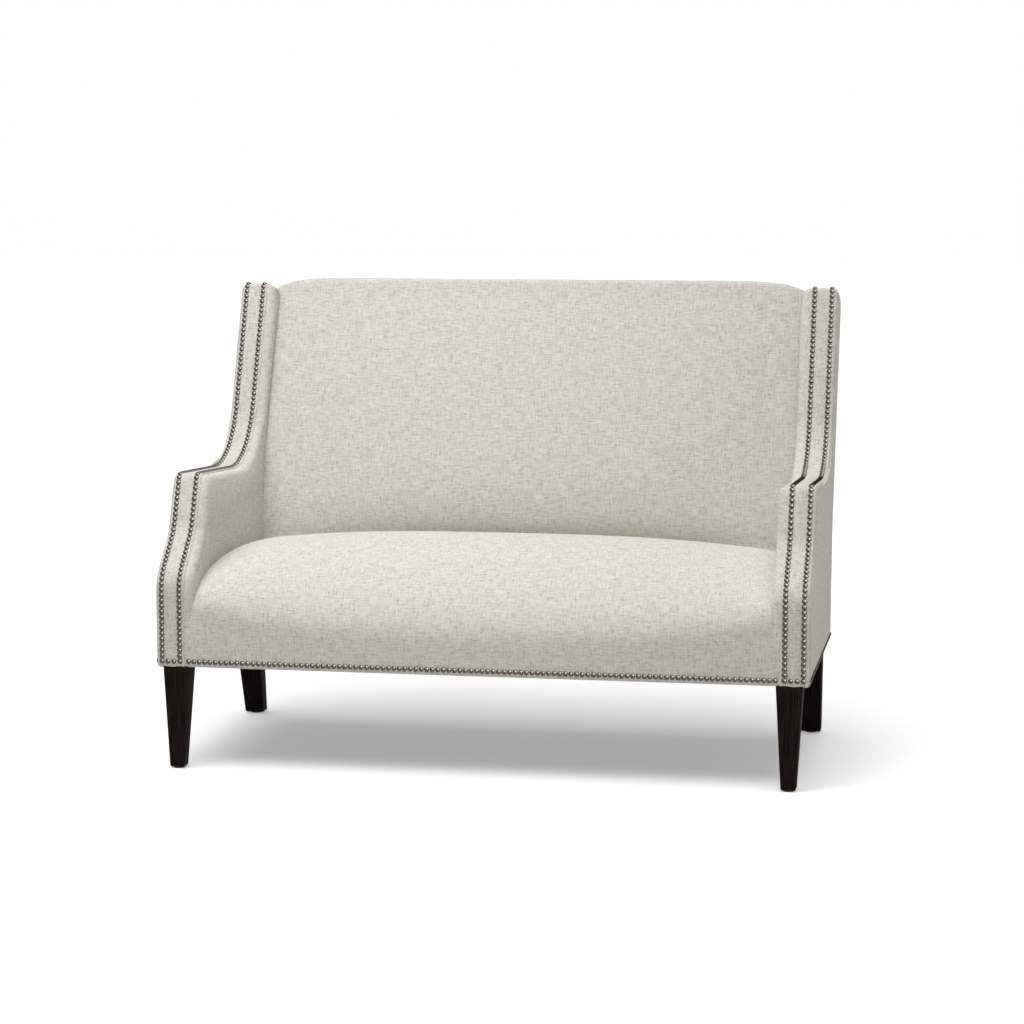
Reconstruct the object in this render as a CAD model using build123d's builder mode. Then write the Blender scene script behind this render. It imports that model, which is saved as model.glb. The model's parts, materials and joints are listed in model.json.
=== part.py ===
"""Two-seat settee: tight seat and back, arms that sweep up into wings, nailhead trim, tapered legs.

Millimetres, +Z up, the front towards -Y, the origin on the floor under the middle of the whole.
"""

import os
from math import atan2, cos, radians, tan

from build123d import *

os.makedirs("parts", exist_ok=True)

# Overall form, heights from the floor and setbacks from the front face
overall_width = 1353
base_height = 215
front_break_height = 402
knee_setback = 93
knee_height = 487
arm_setback = 141
arm_height = 604
arm_fall = 3
wing_foot_setback = 538
wing_rake = 21.2
wing_height = 982
wing_top_fall = 14
back_thickness = 129
rear_break_height = 461
rear_base_setback = 601

# Radii of the side outline
front_bend_radius = 70
knee_radius = 100
arm_nose_radius = 18
sweep_radius = 190
wing_nose_radius = 13
wing_heel_radius = 40
rear_bend_radius = 400

# Cloth, padding and play
cloth = 2.5
cover_bevel = 1.8
dust_cloth = 1
play = 0.3
arm_pad_thickness = 24
arm_pad_bevel = 10
front_padding = 12

# Side frame: two plywood sheets with spacers between them
panel_thickness = 18
spacer_thickness = 22
side_rail_height = 80
arm_post_depth = 60
arm_rail_depth = 45
rear_post_depth = 60

# Seat frame and seat
rail_height = 100
rail_thickness = 28
stretcher_width = 45
stretcher_height = 60
block_side = 70
block_height = 70
webbing_thickness = 2
webbing_width = 70
seat_strap_count = 9
seat_edge_height = 425
seat_crown = 48
seat_roll = 80
seat_fall = 14
seat_tuck = 5
apron_gap = 27

# Back frame and back
back_frame_depth = 55
tack_rail_height = 345
tack_rail_depth = 60
top_rail_depth = 75
stile_width = 45
stile_spacing = 410
back_strap_count = 7
crease_setback = 33
back_edge_rise = 8
back_top_crown = 15
back_crown = 27
back_roll = 20

# How flat the crowns of the seat and the back are along the width, and where their sections stand
crown_power = 3
shoulder_power = 12
crown_stations = (-1, -0.94, -0.82, -0.5, 0, 0.5, 0.82, 0.94, 1)

# Legs, bolts and glides
leg_top = 52
leg_side_inset = 11.5
front_foot = 31
rear_leg_inset = 6.5
rear_leg_rake = 50
rear_foot_width = 40
rear_foot_depth = 34
glide_diameter = 22
glide_height = 3
bolt_diameter = 8
bolt_depth = 40
bolt_play = 0.2

# Nail heads: low six-sided domes
nail_diameter = 11
nail_gap = 0.5
nail_height = 3
nail_edge = 11.7
nail_column_spacing = 38
nail_row_height = 12.4
front_nail_end = 18.7

# A reach past every face, for cutting shapes
past = 20
far = 2000

# Places across the width
half_width = overall_width / 2
panel_outer_face = half_width - cloth
spacer_outer_face = panel_outer_face - panel_thickness
spacer_inner_face = spacer_outer_face - spacer_thickness
panel_inner_face = spacer_inner_face - panel_thickness
pad_face = panel_inner_face - arm_pad_thickness
side_frame = panel_outer_face - panel_inner_face

# Slopes of the back: depth gained per height, and the fall of the wing's top per depth
rake = tan(radians(wing_rake))
top_fall = tan(radians(wing_top_fall))
back_plane = cloth + back_frame_depth + webbing_thickness
wing_foot_height = arm_height - tan(radians(arm_fall)) * (wing_foot_setback - arm_setback)
wing_nose_setback = wing_foot_setback + rake * (wing_height - wing_foot_height)


def wing_line(height):
    """Setback of the wing's front edge at a height."""
    return wing_foot_setback + rake * (height - wing_foot_height)


def top_corner(inset):
    """Where the wing's top line meets the rear line drawn in by an inset."""
    run = wing_line(wing_height) + back_thickness - inset - wing_nose_setback
    drop = top_fall * run / (1 + top_fall * rake)
    height = wing_height - drop
    return (wing_line(height) + back_thickness - inset, height)


rear_break = (wing_line(rear_break_height) + back_thickness, rear_break_height)
heel_radius = min(wing_heel_radius, 0.75 * back_plane)
band_corners = [
    (0, base_height),
    (0, front_break_height),
    (knee_setback, knee_height),
    (arm_setback, arm_height),
    (wing_foot_setback, wing_foot_height),
    (wing_nose_setback, wing_height),
    top_corner(back_plane),
]
band_radii = [front_bend_radius, knee_radius, arm_nose_radius, sweep_radius, wing_nose_radius]
rear_corners = [top_corner(back_plane), top_corner(0), rear_break, (rear_base_setback, base_height)]
rear_radii = [heel_radius, rear_bend_radius]

# The origin lies midway between the nail heads in front and the heel of the wing behind
with BuildLine() as heel_reach:
    FilletPolyline(*rear_corners, radius=rear_radii)
depth = heel_reach.line.bounding_box().max.X
front = (nail_height + play - depth) / 2
band_corners = [(front + setback, height) for setback, height in band_corners]
rear_corners = [(front + setback, height) for setback, height in rear_corners]
base_rear = front + rear_base_setback

# Side outline of the dressed settee, and of the wood under the cloth
with BuildSketch() as outline:
    with BuildLine():
        FilletPolyline(*band_corners, radius=band_radii)
        FilletPolyline(*rear_corners, radius=rear_radii)
        Line(rear_corners[-1], band_corners[0])
    make_face()
with BuildSketch() as wood:
    offset(outline.sketch, amount=-cloth)
wood_edge = wood.sketch.face().outer_wire()
wood_base = base_height + cloth


def finish(piece, name):
    """Labels a piece and writes it."""
    piece.part.label = name
    export_step(piece.part, f"parts/{name}.step")


def finish_pair(piece, name):
    """Writes a piece of the right-hand side, and its mirror image for the left."""
    finish(piece, f"{name}_right")
    with BuildPart() as twin:
        mirror(piece.part, about=Plane.YZ)
    finish(twin, f"{name}_left")


def rear_zone(inset):
    """Everything behind the rear line drawn in by an inset."""
    upper, middle = rear_corners[1], rear_corners[2]
    lower = rear_corners[3]
    slope = (upper[0] - middle[0]) / (upper[1] - middle[1])
    with BuildSketch() as zone:
        with BuildLine():
            Polyline(
                (upper[0] - inset + slope * far, upper[1] + far),
                (middle[0] - inset, middle[1]),
                (lower[0] - inset, lower[1]),
                (lower[0] - inset, lower[1] - far),
                (far, lower[1] - far),
                (far, upper[1] + far),
                close=True,
            )
        make_face()
    return zone.sketch


def height_zone(low, high):
    """A level strip between two heights."""
    with BuildSketch() as zone:
        with Locations((0, low)):
            Rectangle(2 * far, high - low, align=(Align.CENTER, Align.MIN))
    return zone.sketch


# Plywood sheets of the side frame
with BuildPart() as side_panel_outer:
    with BuildSketch(Plane.YZ.offset(spacer_outer_face)):
        add(wood.sketch)
    extrude(amount=panel_thickness)
finish_pair(side_panel_outer, "side_panel_outer")

with BuildPart() as side_panel_inner:
    with BuildSketch(Plane.YZ.offset(panel_inner_face)):
        add(wood.sketch)
    extrude(amount=panel_thickness)
finish_pair(side_panel_inner, "side_panel_inner")

# Spacers between the sheets
side_rail_top = wood_base + side_rail_height
arm_rail_base = wing_foot_height - cloth - arm_rail_depth
sweep_run = sweep_radius * tan(radians(90 - wing_rake + arm_fall) / 2)
wing_joint = front + wing_foot_setback - sweep_run * cos(radians(arm_fall))
spacer_plane = Plane.YZ.offset(spacer_inner_face)
leg_centre = panel_outer_face - leg_side_inset - leg_top / 2
leg_front = front + cloth + play
leg_rear = base_rear - cloth - rear_leg_inset
bolt_side = spacer_inner_face + spacer_thickness / 2
front_leg_centre = leg_front + leg_top / 2
rear_leg_centre = leg_rear - leg_top / 2
bolt_places = [(bolt_side, front_leg_centre), (bolt_side, rear_leg_centre)]

with BuildPart() as side_rail:
    with BuildSketch(spacer_plane):
        add(wood.sketch)
        add(height_zone(wood_base, side_rail_top), mode=Mode.INTERSECT)
    extrude(amount=spacer_thickness)
    with Locations(*[Pos(x, y, wood_base) for x, y in bolt_places]):
        Cylinder(
            bolt_diameter / 2 + bolt_play,
            bolt_depth + play,
            align=(Align.CENTER, Align.CENTER, Align.MIN),
            mode=Mode.SUBTRACT,
        )
finish_pair(side_rail, "side_rail")

with BuildPart() as arm_post:
    with BuildSketch(spacer_plane):
        add(wood.sketch)
        with Locations((arm_post_depth, 0)):
            add(wood.sketch, mode=Mode.SUBTRACT)
        add(height_zone(side_rail_top, arm_rail_base), mode=Mode.INTERSECT)
    extrude(amount=spacer_thickness)
finish_pair(arm_post, "arm_post")

with BuildPart() as rear_post:
    with BuildSketch(spacer_plane):
        add(wood.sketch)
        add(rear_zone(cloth + rear_post_depth), mode=Mode.INTERSECT)
        add(height_zone(side_rail_top, arm_rail_base), mode=Mode.INTERSECT)
    extrude(amount=spacer_thickness)
finish_pair(rear_post, "rear_post")

with BuildPart() as arm_rail:
    with BuildSketch(spacer_plane):
        add(wood.sketch)
        add(height_zone(arm_rail_base, far), mode=Mode.INTERSECT)
        with Locations((wing_joint, 0)):
            Rectangle(far, far, align=(Align.MAX, Align.MIN), mode=Mode.INTERSECT)
    extrude(amount=spacer_thickness)
finish_pair(arm_rail, "arm_rail")

with BuildPart() as wing_board:
    with BuildSketch(spacer_plane):
        add(wood.sketch)
        add(height_zone(arm_rail_base, far), mode=Mode.INTERSECT)
        with Locations((wing_joint, 0)):
            Rectangle(far, far, align=(Align.MIN, Align.MIN), mode=Mode.INTERSECT)
    extrude(amount=spacer_thickness)
finish_pair(wing_board, "wing_board")

# Seat frame between the side frames
rail_front = front + cloth + front_padding
rail_rear = base_rear - cloth
rail_top = wood_base + rail_height
frame_width = 2 * panel_inner_face
inner_front = rail_front + rail_thickness
inner_rear = rail_rear - rail_thickness
bottom_corner = (Align.CENTER, Align.MIN, Align.MIN)

with BuildPart() as front_rail:
    with Locations((0, rail_front, wood_base)):
        Box(frame_width, rail_thickness, rail_height, align=bottom_corner)
finish(front_rail, "front_rail")

with BuildPart() as rear_rail:
    with Locations((0, inner_rear, wood_base)):
        Box(frame_width, rail_thickness, rail_height, align=bottom_corner)
finish(rear_rail, "rear_rail")

with BuildPart() as seat_stretcher:
    with Locations((0, inner_front, wood_base)):
        Box(stretcher_width, inner_rear - inner_front, stretcher_height, align=bottom_corner)
finish(seat_stretcher, "seat_stretcher")

with BuildPart() as corner_blocks:
    with BuildSketch(Plane.XY.offset(wood_base)):
        for corner_y, inward in ((inner_front, 1), (inner_rear, -1)):
            with BuildLine():
                Polyline(
                    (panel_inner_face, corner_y),
                    (panel_inner_face - block_side, corner_y),
                    (panel_inner_face, corner_y + inward * block_side),
                    close=True,
                )
            make_face()
        mirror(about=Plane.YZ)
    extrude(amount=block_height)
finish(corner_blocks, "corner_blocks")

with BuildPart() as seat_webbing:
    with Locations((0, rail_front, rail_top)):
        with GridLocations(frame_width / seat_strap_count, 0, seat_strap_count, 1):
            Box(webbing_width, rail_rear - rail_front, webbing_thickness, align=bottom_corner)
finish(seat_webbing, "seat_webbing")

# Back frame between the side frames
tack_rail_top = tack_rail_height + tack_rail_depth
top_rail_base = top_corner(back_plane)[1] - top_rail_depth
back_frame_inset = cloth + back_frame_depth


def back_member(low, high, near, distant):
    """Sketch of the wood between two insets from the rear line and two heights."""
    with BuildSketch() as member:
        add(wood.sketch)
        add(rear_zone(distant), mode=Mode.INTERSECT)
        add(height_zone(low, high), mode=Mode.INTERSECT)
        if near > 0:
            add(rear_zone(near), mode=Mode.SUBTRACT)
    return member.sketch


with BuildPart() as tack_rail:
    with BuildSketch(Plane.YZ):
        add(back_member(tack_rail_height, tack_rail_top, 0, back_frame_inset))
    extrude(amount=panel_inner_face, both=True)
finish(tack_rail, "tack_rail")

with BuildPart() as top_rail:
    with BuildSketch(Plane.YZ):
        add(back_member(top_rail_base, far, 0, back_frame_inset))
    extrude(amount=panel_inner_face, both=True)
finish(top_rail, "top_rail")

with BuildPart() as back_stile:
    with BuildSketch(Plane.YZ.offset(stile_spacing / 2)):
        add(back_member(tack_rail_top, top_rail_base, 0, back_frame_inset))
    extrude(amount=stile_width / 2, both=True)
finish_pair(back_stile, "back_stile")

strap_pitch = frame_width / back_strap_count
with BuildPart() as back_webbing:
    for strap in range(back_strap_count):
        strap_middle = (strap - (back_strap_count - 1) / 2) * strap_pitch
        with BuildSketch(Plane.YZ.offset(strap_middle)):
            add(back_member(tack_rail_height, far, back_frame_inset, back_plane))
        extrude(amount=webbing_width / 2, both=True)
finish(back_webbing, "back_webbing")

# Crowned forms of the back and the seat, each lofted through sections along the width
deck = rail_top + webbing_thickness
crown_half = pad_face - play
pad_bevel = min(arm_pad_bevel, 0.9 * (wing_nose_radius - cloth))
padding_rear = back_plane + play
bend_turn = atan2(knee_setback, knee_height - front_break_height)
apron_top = front_break_height - front_bend_radius * tan(bend_turn / 2) - apron_gap


def crown_rise(station, power=crown_power):
    """Share of the full crown at a station, from 0 at the ends to 1 in the middle."""
    return 1 - abs(station) ** power


def back_form(skin, reach):
    """Back drawn in by a skin in front and on top, and reaching past its other faces."""
    middle, lower = rear_corners[2], rear_corners[3]
    rear_slope = (middle[0] - lower[0]) / (middle[1] - lower[1])
    foot = deck + play - reach
    rear_middle = middle[0] - padding_rear + reach
    rear_foot = rear_middle + rear_slope * (foot - middle[1])
    top_rear = top_corner(padding_rear)[1] - skin
    with BuildPart() as form:
        for station in crown_stations:
            rise = crown_rise(station)
            shoulder = crown_rise(station, shoulder_power)
            head = wing_height + back_edge_rise + back_top_crown * shoulder - skin
            face = front + crease_setback - back_crown * rise + skin / cos(radians(wing_rake))
            top_front = face + wing_line(head)
            tail = front + wing_line(top_rear) + back_thickness - padding_rear
            fall = (head - top_rear) / (tail - top_front)
            with BuildSketch(Plane.YZ.offset(station * crown_half)):
                with BuildLine():
                    FilletPolyline(
                        (face + wing_line(foot), foot),
                        (top_front, head),
                        (tail + reach, top_rear - fall * reach),
                        (rear_middle, middle[1]),
                        (rear_foot, foot),
                        radius=[0, back_roll - skin, 0, 0, 0],
                        close=True,
                    )
                make_face()
        loft(ruled=True)
    return form.part


def seat_form(skin, reach):
    """Seat and its apron, drawn in by a skin in front and on top, reaching past their other faces."""
    rear = front + crease_setback + wing_line(seat_edge_height + seat_crown) + seat_tuck
    near = front + skin
    apron = rail_front - play + reach
    foot = base_height + skin - reach
    floor = deck + play - reach
    with BuildPart() as form:
        for station in crown_stations:
            rise = crown_rise(station)
            head = seat_edge_height + seat_crown * rise
            crest = (front + seat_roll, head - skin)
            tail = (rear, head - skin - seat_fall)
            with BuildSketch(Plane.YZ.offset(station * crown_half)):
                with BuildLine():
                    Line((near, foot), (near, head - seat_roll))
                    RadiusArc((near, head - seat_roll), crest, seat_roll - skin)
                    Polyline(crest, tail, (rear, floor), (apron, floor), (apron, foot), (near, foot))
                make_face()
        loft(ruled=True)
        apron_width = 2 * (panel_inner_face - play + reach)
        with Locations((0, near, foot)):
            Box(apron_width, apron - near, apron_top - skin - foot, align=bottom_corner)
    return form.part


with BuildPart() as inside_back_cover:
    add(back_form(0, 0))
    add(back_form(cloth, past), mode=Mode.SUBTRACT)
finish(inside_back_cover, "inside_back_cover")

with BuildPart() as back_foam:
    add(back_form(cloth + play, 0))
finish(back_foam, "back_foam")

with BuildPart() as seat_cover:
    add(seat_form(0, 0))
    add(seat_form(cloth, past), mode=Mode.SUBTRACT)
    add(back_form(-play, past), mode=Mode.SUBTRACT)
finish(seat_cover, "seat_cover")

with BuildPart() as seat_foam:
    add(seat_form(cloth + play, 0))
    add(back_form(-play, past), mode=Mode.SUBTRACT)
finish(seat_foam, "seat_foam")


def arm_pad_form(skin, reach):
    """Pad on the inside of the arm and wing, with a bevelled edge, drawn in by a skin."""
    with BuildPart() as form:
        with BuildSketch(Plane.YZ.offset(panel_inner_face + reach)) as pad:
            offset(outline.sketch, amount=-(cloth + skin))
            add(rear_zone(padding_rear - reach), mode=Mode.SUBTRACT)
            add(height_zone(deck + play - reach, far), mode=Mode.INTERSECT)
            with Locations((rail_front + play, apron_top + play)):
                Rectangle(far, far, align=(Align.MAX, Align.MAX), mode=Mode.SUBTRACT)
        extrude(amount=-(arm_pad_thickness + reach - skin))
        inner_edges = form.faces().sort_by(Axis.X)[0].edges()
        rolled = inner_edges.filter_by(lambda e: on_arm_outline(e @ 0.5, skin))
        chamfer(rolled, length=pad_bevel - skin)
    return form.part


def on_arm_outline(point, skin):
    """Whether a point of the pad's face lies on the edge that follows the arm's outline."""
    return wood_edge.distance_to(Vertex(point.Y, point.Z, 0)) < skin + play


with BuildPart() as inside_arm_cover:
    add(arm_pad_form(0, 0))
    add(arm_pad_form(cloth, past), mode=Mode.SUBTRACT)
finish_pair(inside_arm_cover, "inside_arm_cover")

with BuildPart() as arm_pad:
    add(arm_pad_form(cloth + play, 0))
finish_pair(arm_pad, "arm_pad")

# Outer covers
with BuildPart() as edge_band:
    with BuildSketch(Plane.YZ.offset(panel_inner_face)):
        with BuildLine():
            FilletPolyline(*band_corners, radius=band_radii)
            offset(amount=cloth, side=Side.RIGHT)
        make_face()
    extrude(amount=side_frame)
finish_pair(edge_band, "edge_band")

with BuildPart() as outside_arm_cover:
    with BuildSketch(Plane.YZ.offset(panel_outer_face)):
        add(outline.sketch)
    extrude(amount=cloth)
    chamfer(outside_arm_cover.faces().sort_by(Axis.X)[-1].edges(), length=cover_bevel)
finish_pair(outside_arm_cover, "outside_arm_cover")

with BuildPart() as outside_back_cover:
    with BuildSketch(Plane.YZ):
        with BuildLine():
            FilletPolyline(*rear_corners, radius=rear_radii)
            offset(amount=cloth, side=Side.RIGHT)
        make_face()
    extrude(amount=panel_outer_face, both=True)
finish(outside_back_cover, "outside_back_cover")

leg_places = [(side * leg_centre, y) for side in (-1, 1) for y in (front_leg_centre, rear_leg_centre)]
leg_notch = leg_top + 2 * play
with BuildPart() as dust_cover:
    with BuildSketch(Plane.XY.offset(wood_base)):
        with Locations((0, (rail_front + rail_rear) / 2)):
            Rectangle(2 * spacer_inner_face, rail_rear - rail_front)
        with Locations(*leg_places):
            Rectangle(leg_notch, leg_notch, mode=Mode.SUBTRACT)
    extrude(amount=-dust_cloth)
finish(dust_cover, "dust_cover")

# Legs, bolts and glides
front_foot_centre = leg_front + front_foot / 2
rear_foot_centre = leg_rear + rear_leg_rake - rear_foot_depth / 2
leg_forms = {
    "front": (front_leg_centre, front_foot_centre, front_foot, front_foot),
    "rear": (rear_leg_centre, rear_foot_centre, rear_foot_width, rear_foot_depth),
}


def leg_profile(top_middle, top, foot_middle, foot):
    """Four-sided outline of a leg seen square to one face, from its top down to its glide."""
    with BuildSketch() as profile:
        with BuildLine():
            Polyline(
                (top_middle - top / 2, wood_base),
                (foot_middle - foot / 2, glide_height),
                (foot_middle + foot / 2, glide_height),
                (top_middle + top / 2, wood_base),
                close=True,
            )
        make_face()
    return profile.sketch


for end, (top_y, foot_y, foot_width, foot_depth) in leg_forms.items():
    with BuildPart() as leg:
        with BuildSketch(Plane.YZ.offset(leg_centre)):
            add(leg_profile(top_y, leg_top, foot_y, foot_depth))
        extrude(amount=leg_top, both=True)
        with BuildSketch(Plane.XZ):
            add(leg_profile(leg_centre, leg_top, leg_centre, foot_width))
        extrude(amount=far, both=True, mode=Mode.INTERSECT)
        with Locations((bolt_side, top_y, wood_base)):
            Cylinder(
                bolt_diameter / 2 + bolt_play,
                bolt_depth + play,
                align=(Align.CENTER, Align.CENTER, Align.MAX),
                mode=Mode.SUBTRACT,
            )
    finish_pair(leg, f"{end}_leg")

    with BuildPart() as glide:
        with Locations((leg_centre, foot_y, 0)):
            Cylinder(glide_diameter / 2, glide_height, align=(Align.CENTER, Align.CENTER, Align.MIN))
    finish_pair(glide, f"glide_{end}")

with BuildPart() as leg_bolts:
    with Locations(*[Pos(side * x, y, wood_base) for x, y in bolt_places for side in (-1, 1)]):
        Cylinder(bolt_diameter / 2, 2 * bolt_depth)
finish(leg_bolts, "leg_bolts")

# Nail heads, set evenly along their rows
with BuildPart() as nail:
    with BuildSketch():
        RegularPolygon(nail_diameter / 2, 6)
    loft(sections=[nail.pending_faces[0], Vertex(0, 0, nail_height)])
nail_pitch = nail_diameter + nail_gap


def even_steps(length):
    """Distances of nails spread evenly over a length, about one pitch apart."""
    count = max(1, round(length / nail_pitch))
    return [length * step / count for step in range(count + 1)]


def row_seat(origin, outward, along):
    """Place of a nail head that stands off the cloth by the play."""
    outward = Vector(outward).normalized()
    return Plane(Vector(origin) + outward * play, x_dir=along, z_dir=outward).location


with BuildLine(Plane.YZ) as band_edge:
    FilletPolyline(*band_corners, radius=band_radii)
band_wire = band_edge.wire()
outer_column = half_width - nail_edge
inner_column = outer_column - nail_column_spacing
column_seats = []
column_length = band_wire.length - 2 * nail_row_height
for step in even_steps(column_length):
    spot = band_wire.position_at(nail_row_height + step, position_mode=PositionMode.LENGTH)
    heading = band_wire.tangent_at(nail_row_height + step, position_mode=PositionMode.LENGTH)
    outward = Vector(0, -heading.Z, heading.Y)
    for column in (inner_column, outer_column):
        column_seats.append(row_seat((column, spot.Y, spot.Z), outward, (1, 0, 0)))
row_height = base_height + nail_row_height
for step in even_steps(nail_column_spacing)[1:-1]:
    column_seats.append(row_seat((inner_column + step, front, row_height), (0, -1, 0), (1, 0, 0)))
with BuildPart() as arm_nails:
    with Locations(*column_seats):
        add(nail.part)
finish_pair(arm_nails, "arm_nails")

row_half = inner_column - front_nail_end
with BuildPart() as front_nails:
    with Locations(
        *[
            row_seat((step - row_half, front, row_height), (0, -1, 0), (1, 0, 0))
            for step in even_steps(2 * row_half)
        ]
    ):
        add(nail.part)
finish(front_nails, "front_nails")

side_row_start = front + nail_edge
side_row_end = base_rear - nail_edge
with BuildPart() as side_nails:
    with Locations(
        *[
            row_seat((half_width, side_row_start + step, row_height), (1, 0, 0), (0, 1, 0))
            for step in even_steps(side_row_end - side_row_start)
        ]
    ):
        add(nail.part)
finish_pair(side_nails, "side_nails")
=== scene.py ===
"""Looks of a two-seat settee with swept arms, tight seat and back, nailhead trim and tapered legs.

Metres, +Z up, the front towards -Y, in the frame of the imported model. Every new piece is a surface worked
out on a grid of two parameters, or a profile carried along a path.
"""

import json
import logging
from dataclasses import dataclass, field
from enum import Enum
from math import atan2, cos, pi, radians, sin, tan
from typing import Any, Optional, Sequence

import bmesh
import bpy
import numpy as np
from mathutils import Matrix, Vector

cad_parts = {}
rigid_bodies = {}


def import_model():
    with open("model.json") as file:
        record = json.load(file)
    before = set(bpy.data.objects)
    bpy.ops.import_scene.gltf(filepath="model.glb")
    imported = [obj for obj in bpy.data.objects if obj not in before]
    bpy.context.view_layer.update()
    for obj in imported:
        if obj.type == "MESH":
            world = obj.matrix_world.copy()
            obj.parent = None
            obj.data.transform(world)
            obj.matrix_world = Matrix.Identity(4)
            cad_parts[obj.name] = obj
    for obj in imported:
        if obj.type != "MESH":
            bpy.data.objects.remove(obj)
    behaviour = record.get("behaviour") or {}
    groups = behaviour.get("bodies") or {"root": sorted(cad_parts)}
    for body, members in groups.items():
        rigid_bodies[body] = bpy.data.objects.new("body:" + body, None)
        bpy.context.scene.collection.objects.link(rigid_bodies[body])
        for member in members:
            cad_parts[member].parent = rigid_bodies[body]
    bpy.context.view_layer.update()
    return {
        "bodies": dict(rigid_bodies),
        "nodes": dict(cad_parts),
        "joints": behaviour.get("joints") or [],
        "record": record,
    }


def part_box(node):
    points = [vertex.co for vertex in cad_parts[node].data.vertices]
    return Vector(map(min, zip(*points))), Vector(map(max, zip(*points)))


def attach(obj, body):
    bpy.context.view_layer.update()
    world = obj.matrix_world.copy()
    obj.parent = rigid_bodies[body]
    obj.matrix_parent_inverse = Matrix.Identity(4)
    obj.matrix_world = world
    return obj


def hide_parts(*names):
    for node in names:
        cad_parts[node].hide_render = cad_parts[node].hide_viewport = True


LOG = logging.getLogger("settee")
BODY = "root"
CLOTH_MAP = "cloth"
POLISH = "polish"
WHITE = (1.0, 1.0, 1.0, 1.0)


class Side(Enum):
    """Side of the settee as seen from the front, with the sign of its x."""

    LEFT = -1
    RIGHT = 1

    @property
    def word(self) -> str:
        """Name of the side as it stands in node names."""
        return self.name.lower()


def linear(hex_colour: str) -> tuple[float, float, float, float]:
    """Turns an sRGB hex colour into linear RGBA.

    Args:
        hex_colour: six hex digits after a hash sign.

    Returns:
        Linear red, green, blue and an alpha of 1.
    """
    parts = np.array([int(hex_colour[i : i + 2], 16) for i in (1, 3, 5)]) / 255
    light = np.where(parts <= 0.04045, parts / 12.92, ((parts + 0.055) / 1.055) ** 2.4)
    return (float(light[0]), float(light[1]), float(light[2]), 1.0)


def add_node(
    tree: bpy.types.NodeTree, kind: str, settings: Optional[dict] = None, **inputs: Any
) -> bpy.types.Node:
    """Adds a shader node, sets its properties and fills or links its inputs.

    Args:
        tree: node tree that takes the node.
        kind: Blender's name of the node type.
        settings: properties of the node, and the stops of a colour ramp as places with hex colours.
        inputs: value or socket for each input, by its name with underscores for spaces, or i and its index.

    Returns:
        The new node.
    """
    node = tree.nodes.new(kind)
    for name, value in (settings or {}).items():
        if name != "stops":
            setattr(node, name, value)
            continue
        elements = node.color_ramp.elements
        while len(elements) < len(value):
            elements.new(0.5)
        for element, (place, colour) in zip(elements, value):
            element.position = place
            element.color = linear(colour)
    for name, value in inputs.items():
        by_index = name[0] == "i" and name[1:].isdigit()
        socket = node.inputs[int(name[1:]) if by_index else name.replace("_", " ")]
        if isinstance(value, bpy.types.NodeSocket):
            tree.links.new(value, socket)
        else:
            socket.default_value = value
    return node


def cleared(holder: Any) -> bpy.types.NodeTree:
    """Empties the node tree of a material or a world.

    Args:
        holder: the material or world.

    Returns:
        Its node tree.
    """
    holder.use_nodes = True
    holder.node_tree.nodes.clear()
    return holder.node_tree


def new_material(name: str) -> tuple[bpy.types.Material, bpy.types.NodeTree, bpy.types.Node]:
    """Makes an empty material with one principled shader.

    Args:
        name: name of the finish.

    Returns:
        The material, its node tree and its shader.
    """
    material = bpy.data.materials.new(name)
    tree = cleared(material)
    shader = add_node(tree, "ShaderNodeBsdfPrincipled")
    add_node(tree, "ShaderNodeOutputMaterial", Surface=shader.outputs["BSDF"])
    return material, tree, shader


def coat(
    shader: bpy.types.Node, colour: Any, height: Any, relief: tuple[float, float], **plain: float
) -> None:
    """Gives a shader its colour, a relief and the values that are the same all over.

    Args:
        shader: principled shader of the finish.
        colour: socket with the colour.
        height: socket with the height of the relief.
        relief: strength of the relief and its depth in metres.
        plain: value for each other socket, by its name with underscores for spaces.
    """
    tree = shader.id_data
    strength, depth = relief
    bump = add_node(tree, "ShaderNodeBump", Strength=strength, Distance=depth, Height=height)
    tree.links.new(colour, shader.inputs["Base Color"])
    tree.links.new(bump.outputs[0], shader.inputs["Normal"])
    for name, value in plain.items():
        shader.inputs[name.replace("_", " ")].default_value = value


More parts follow.
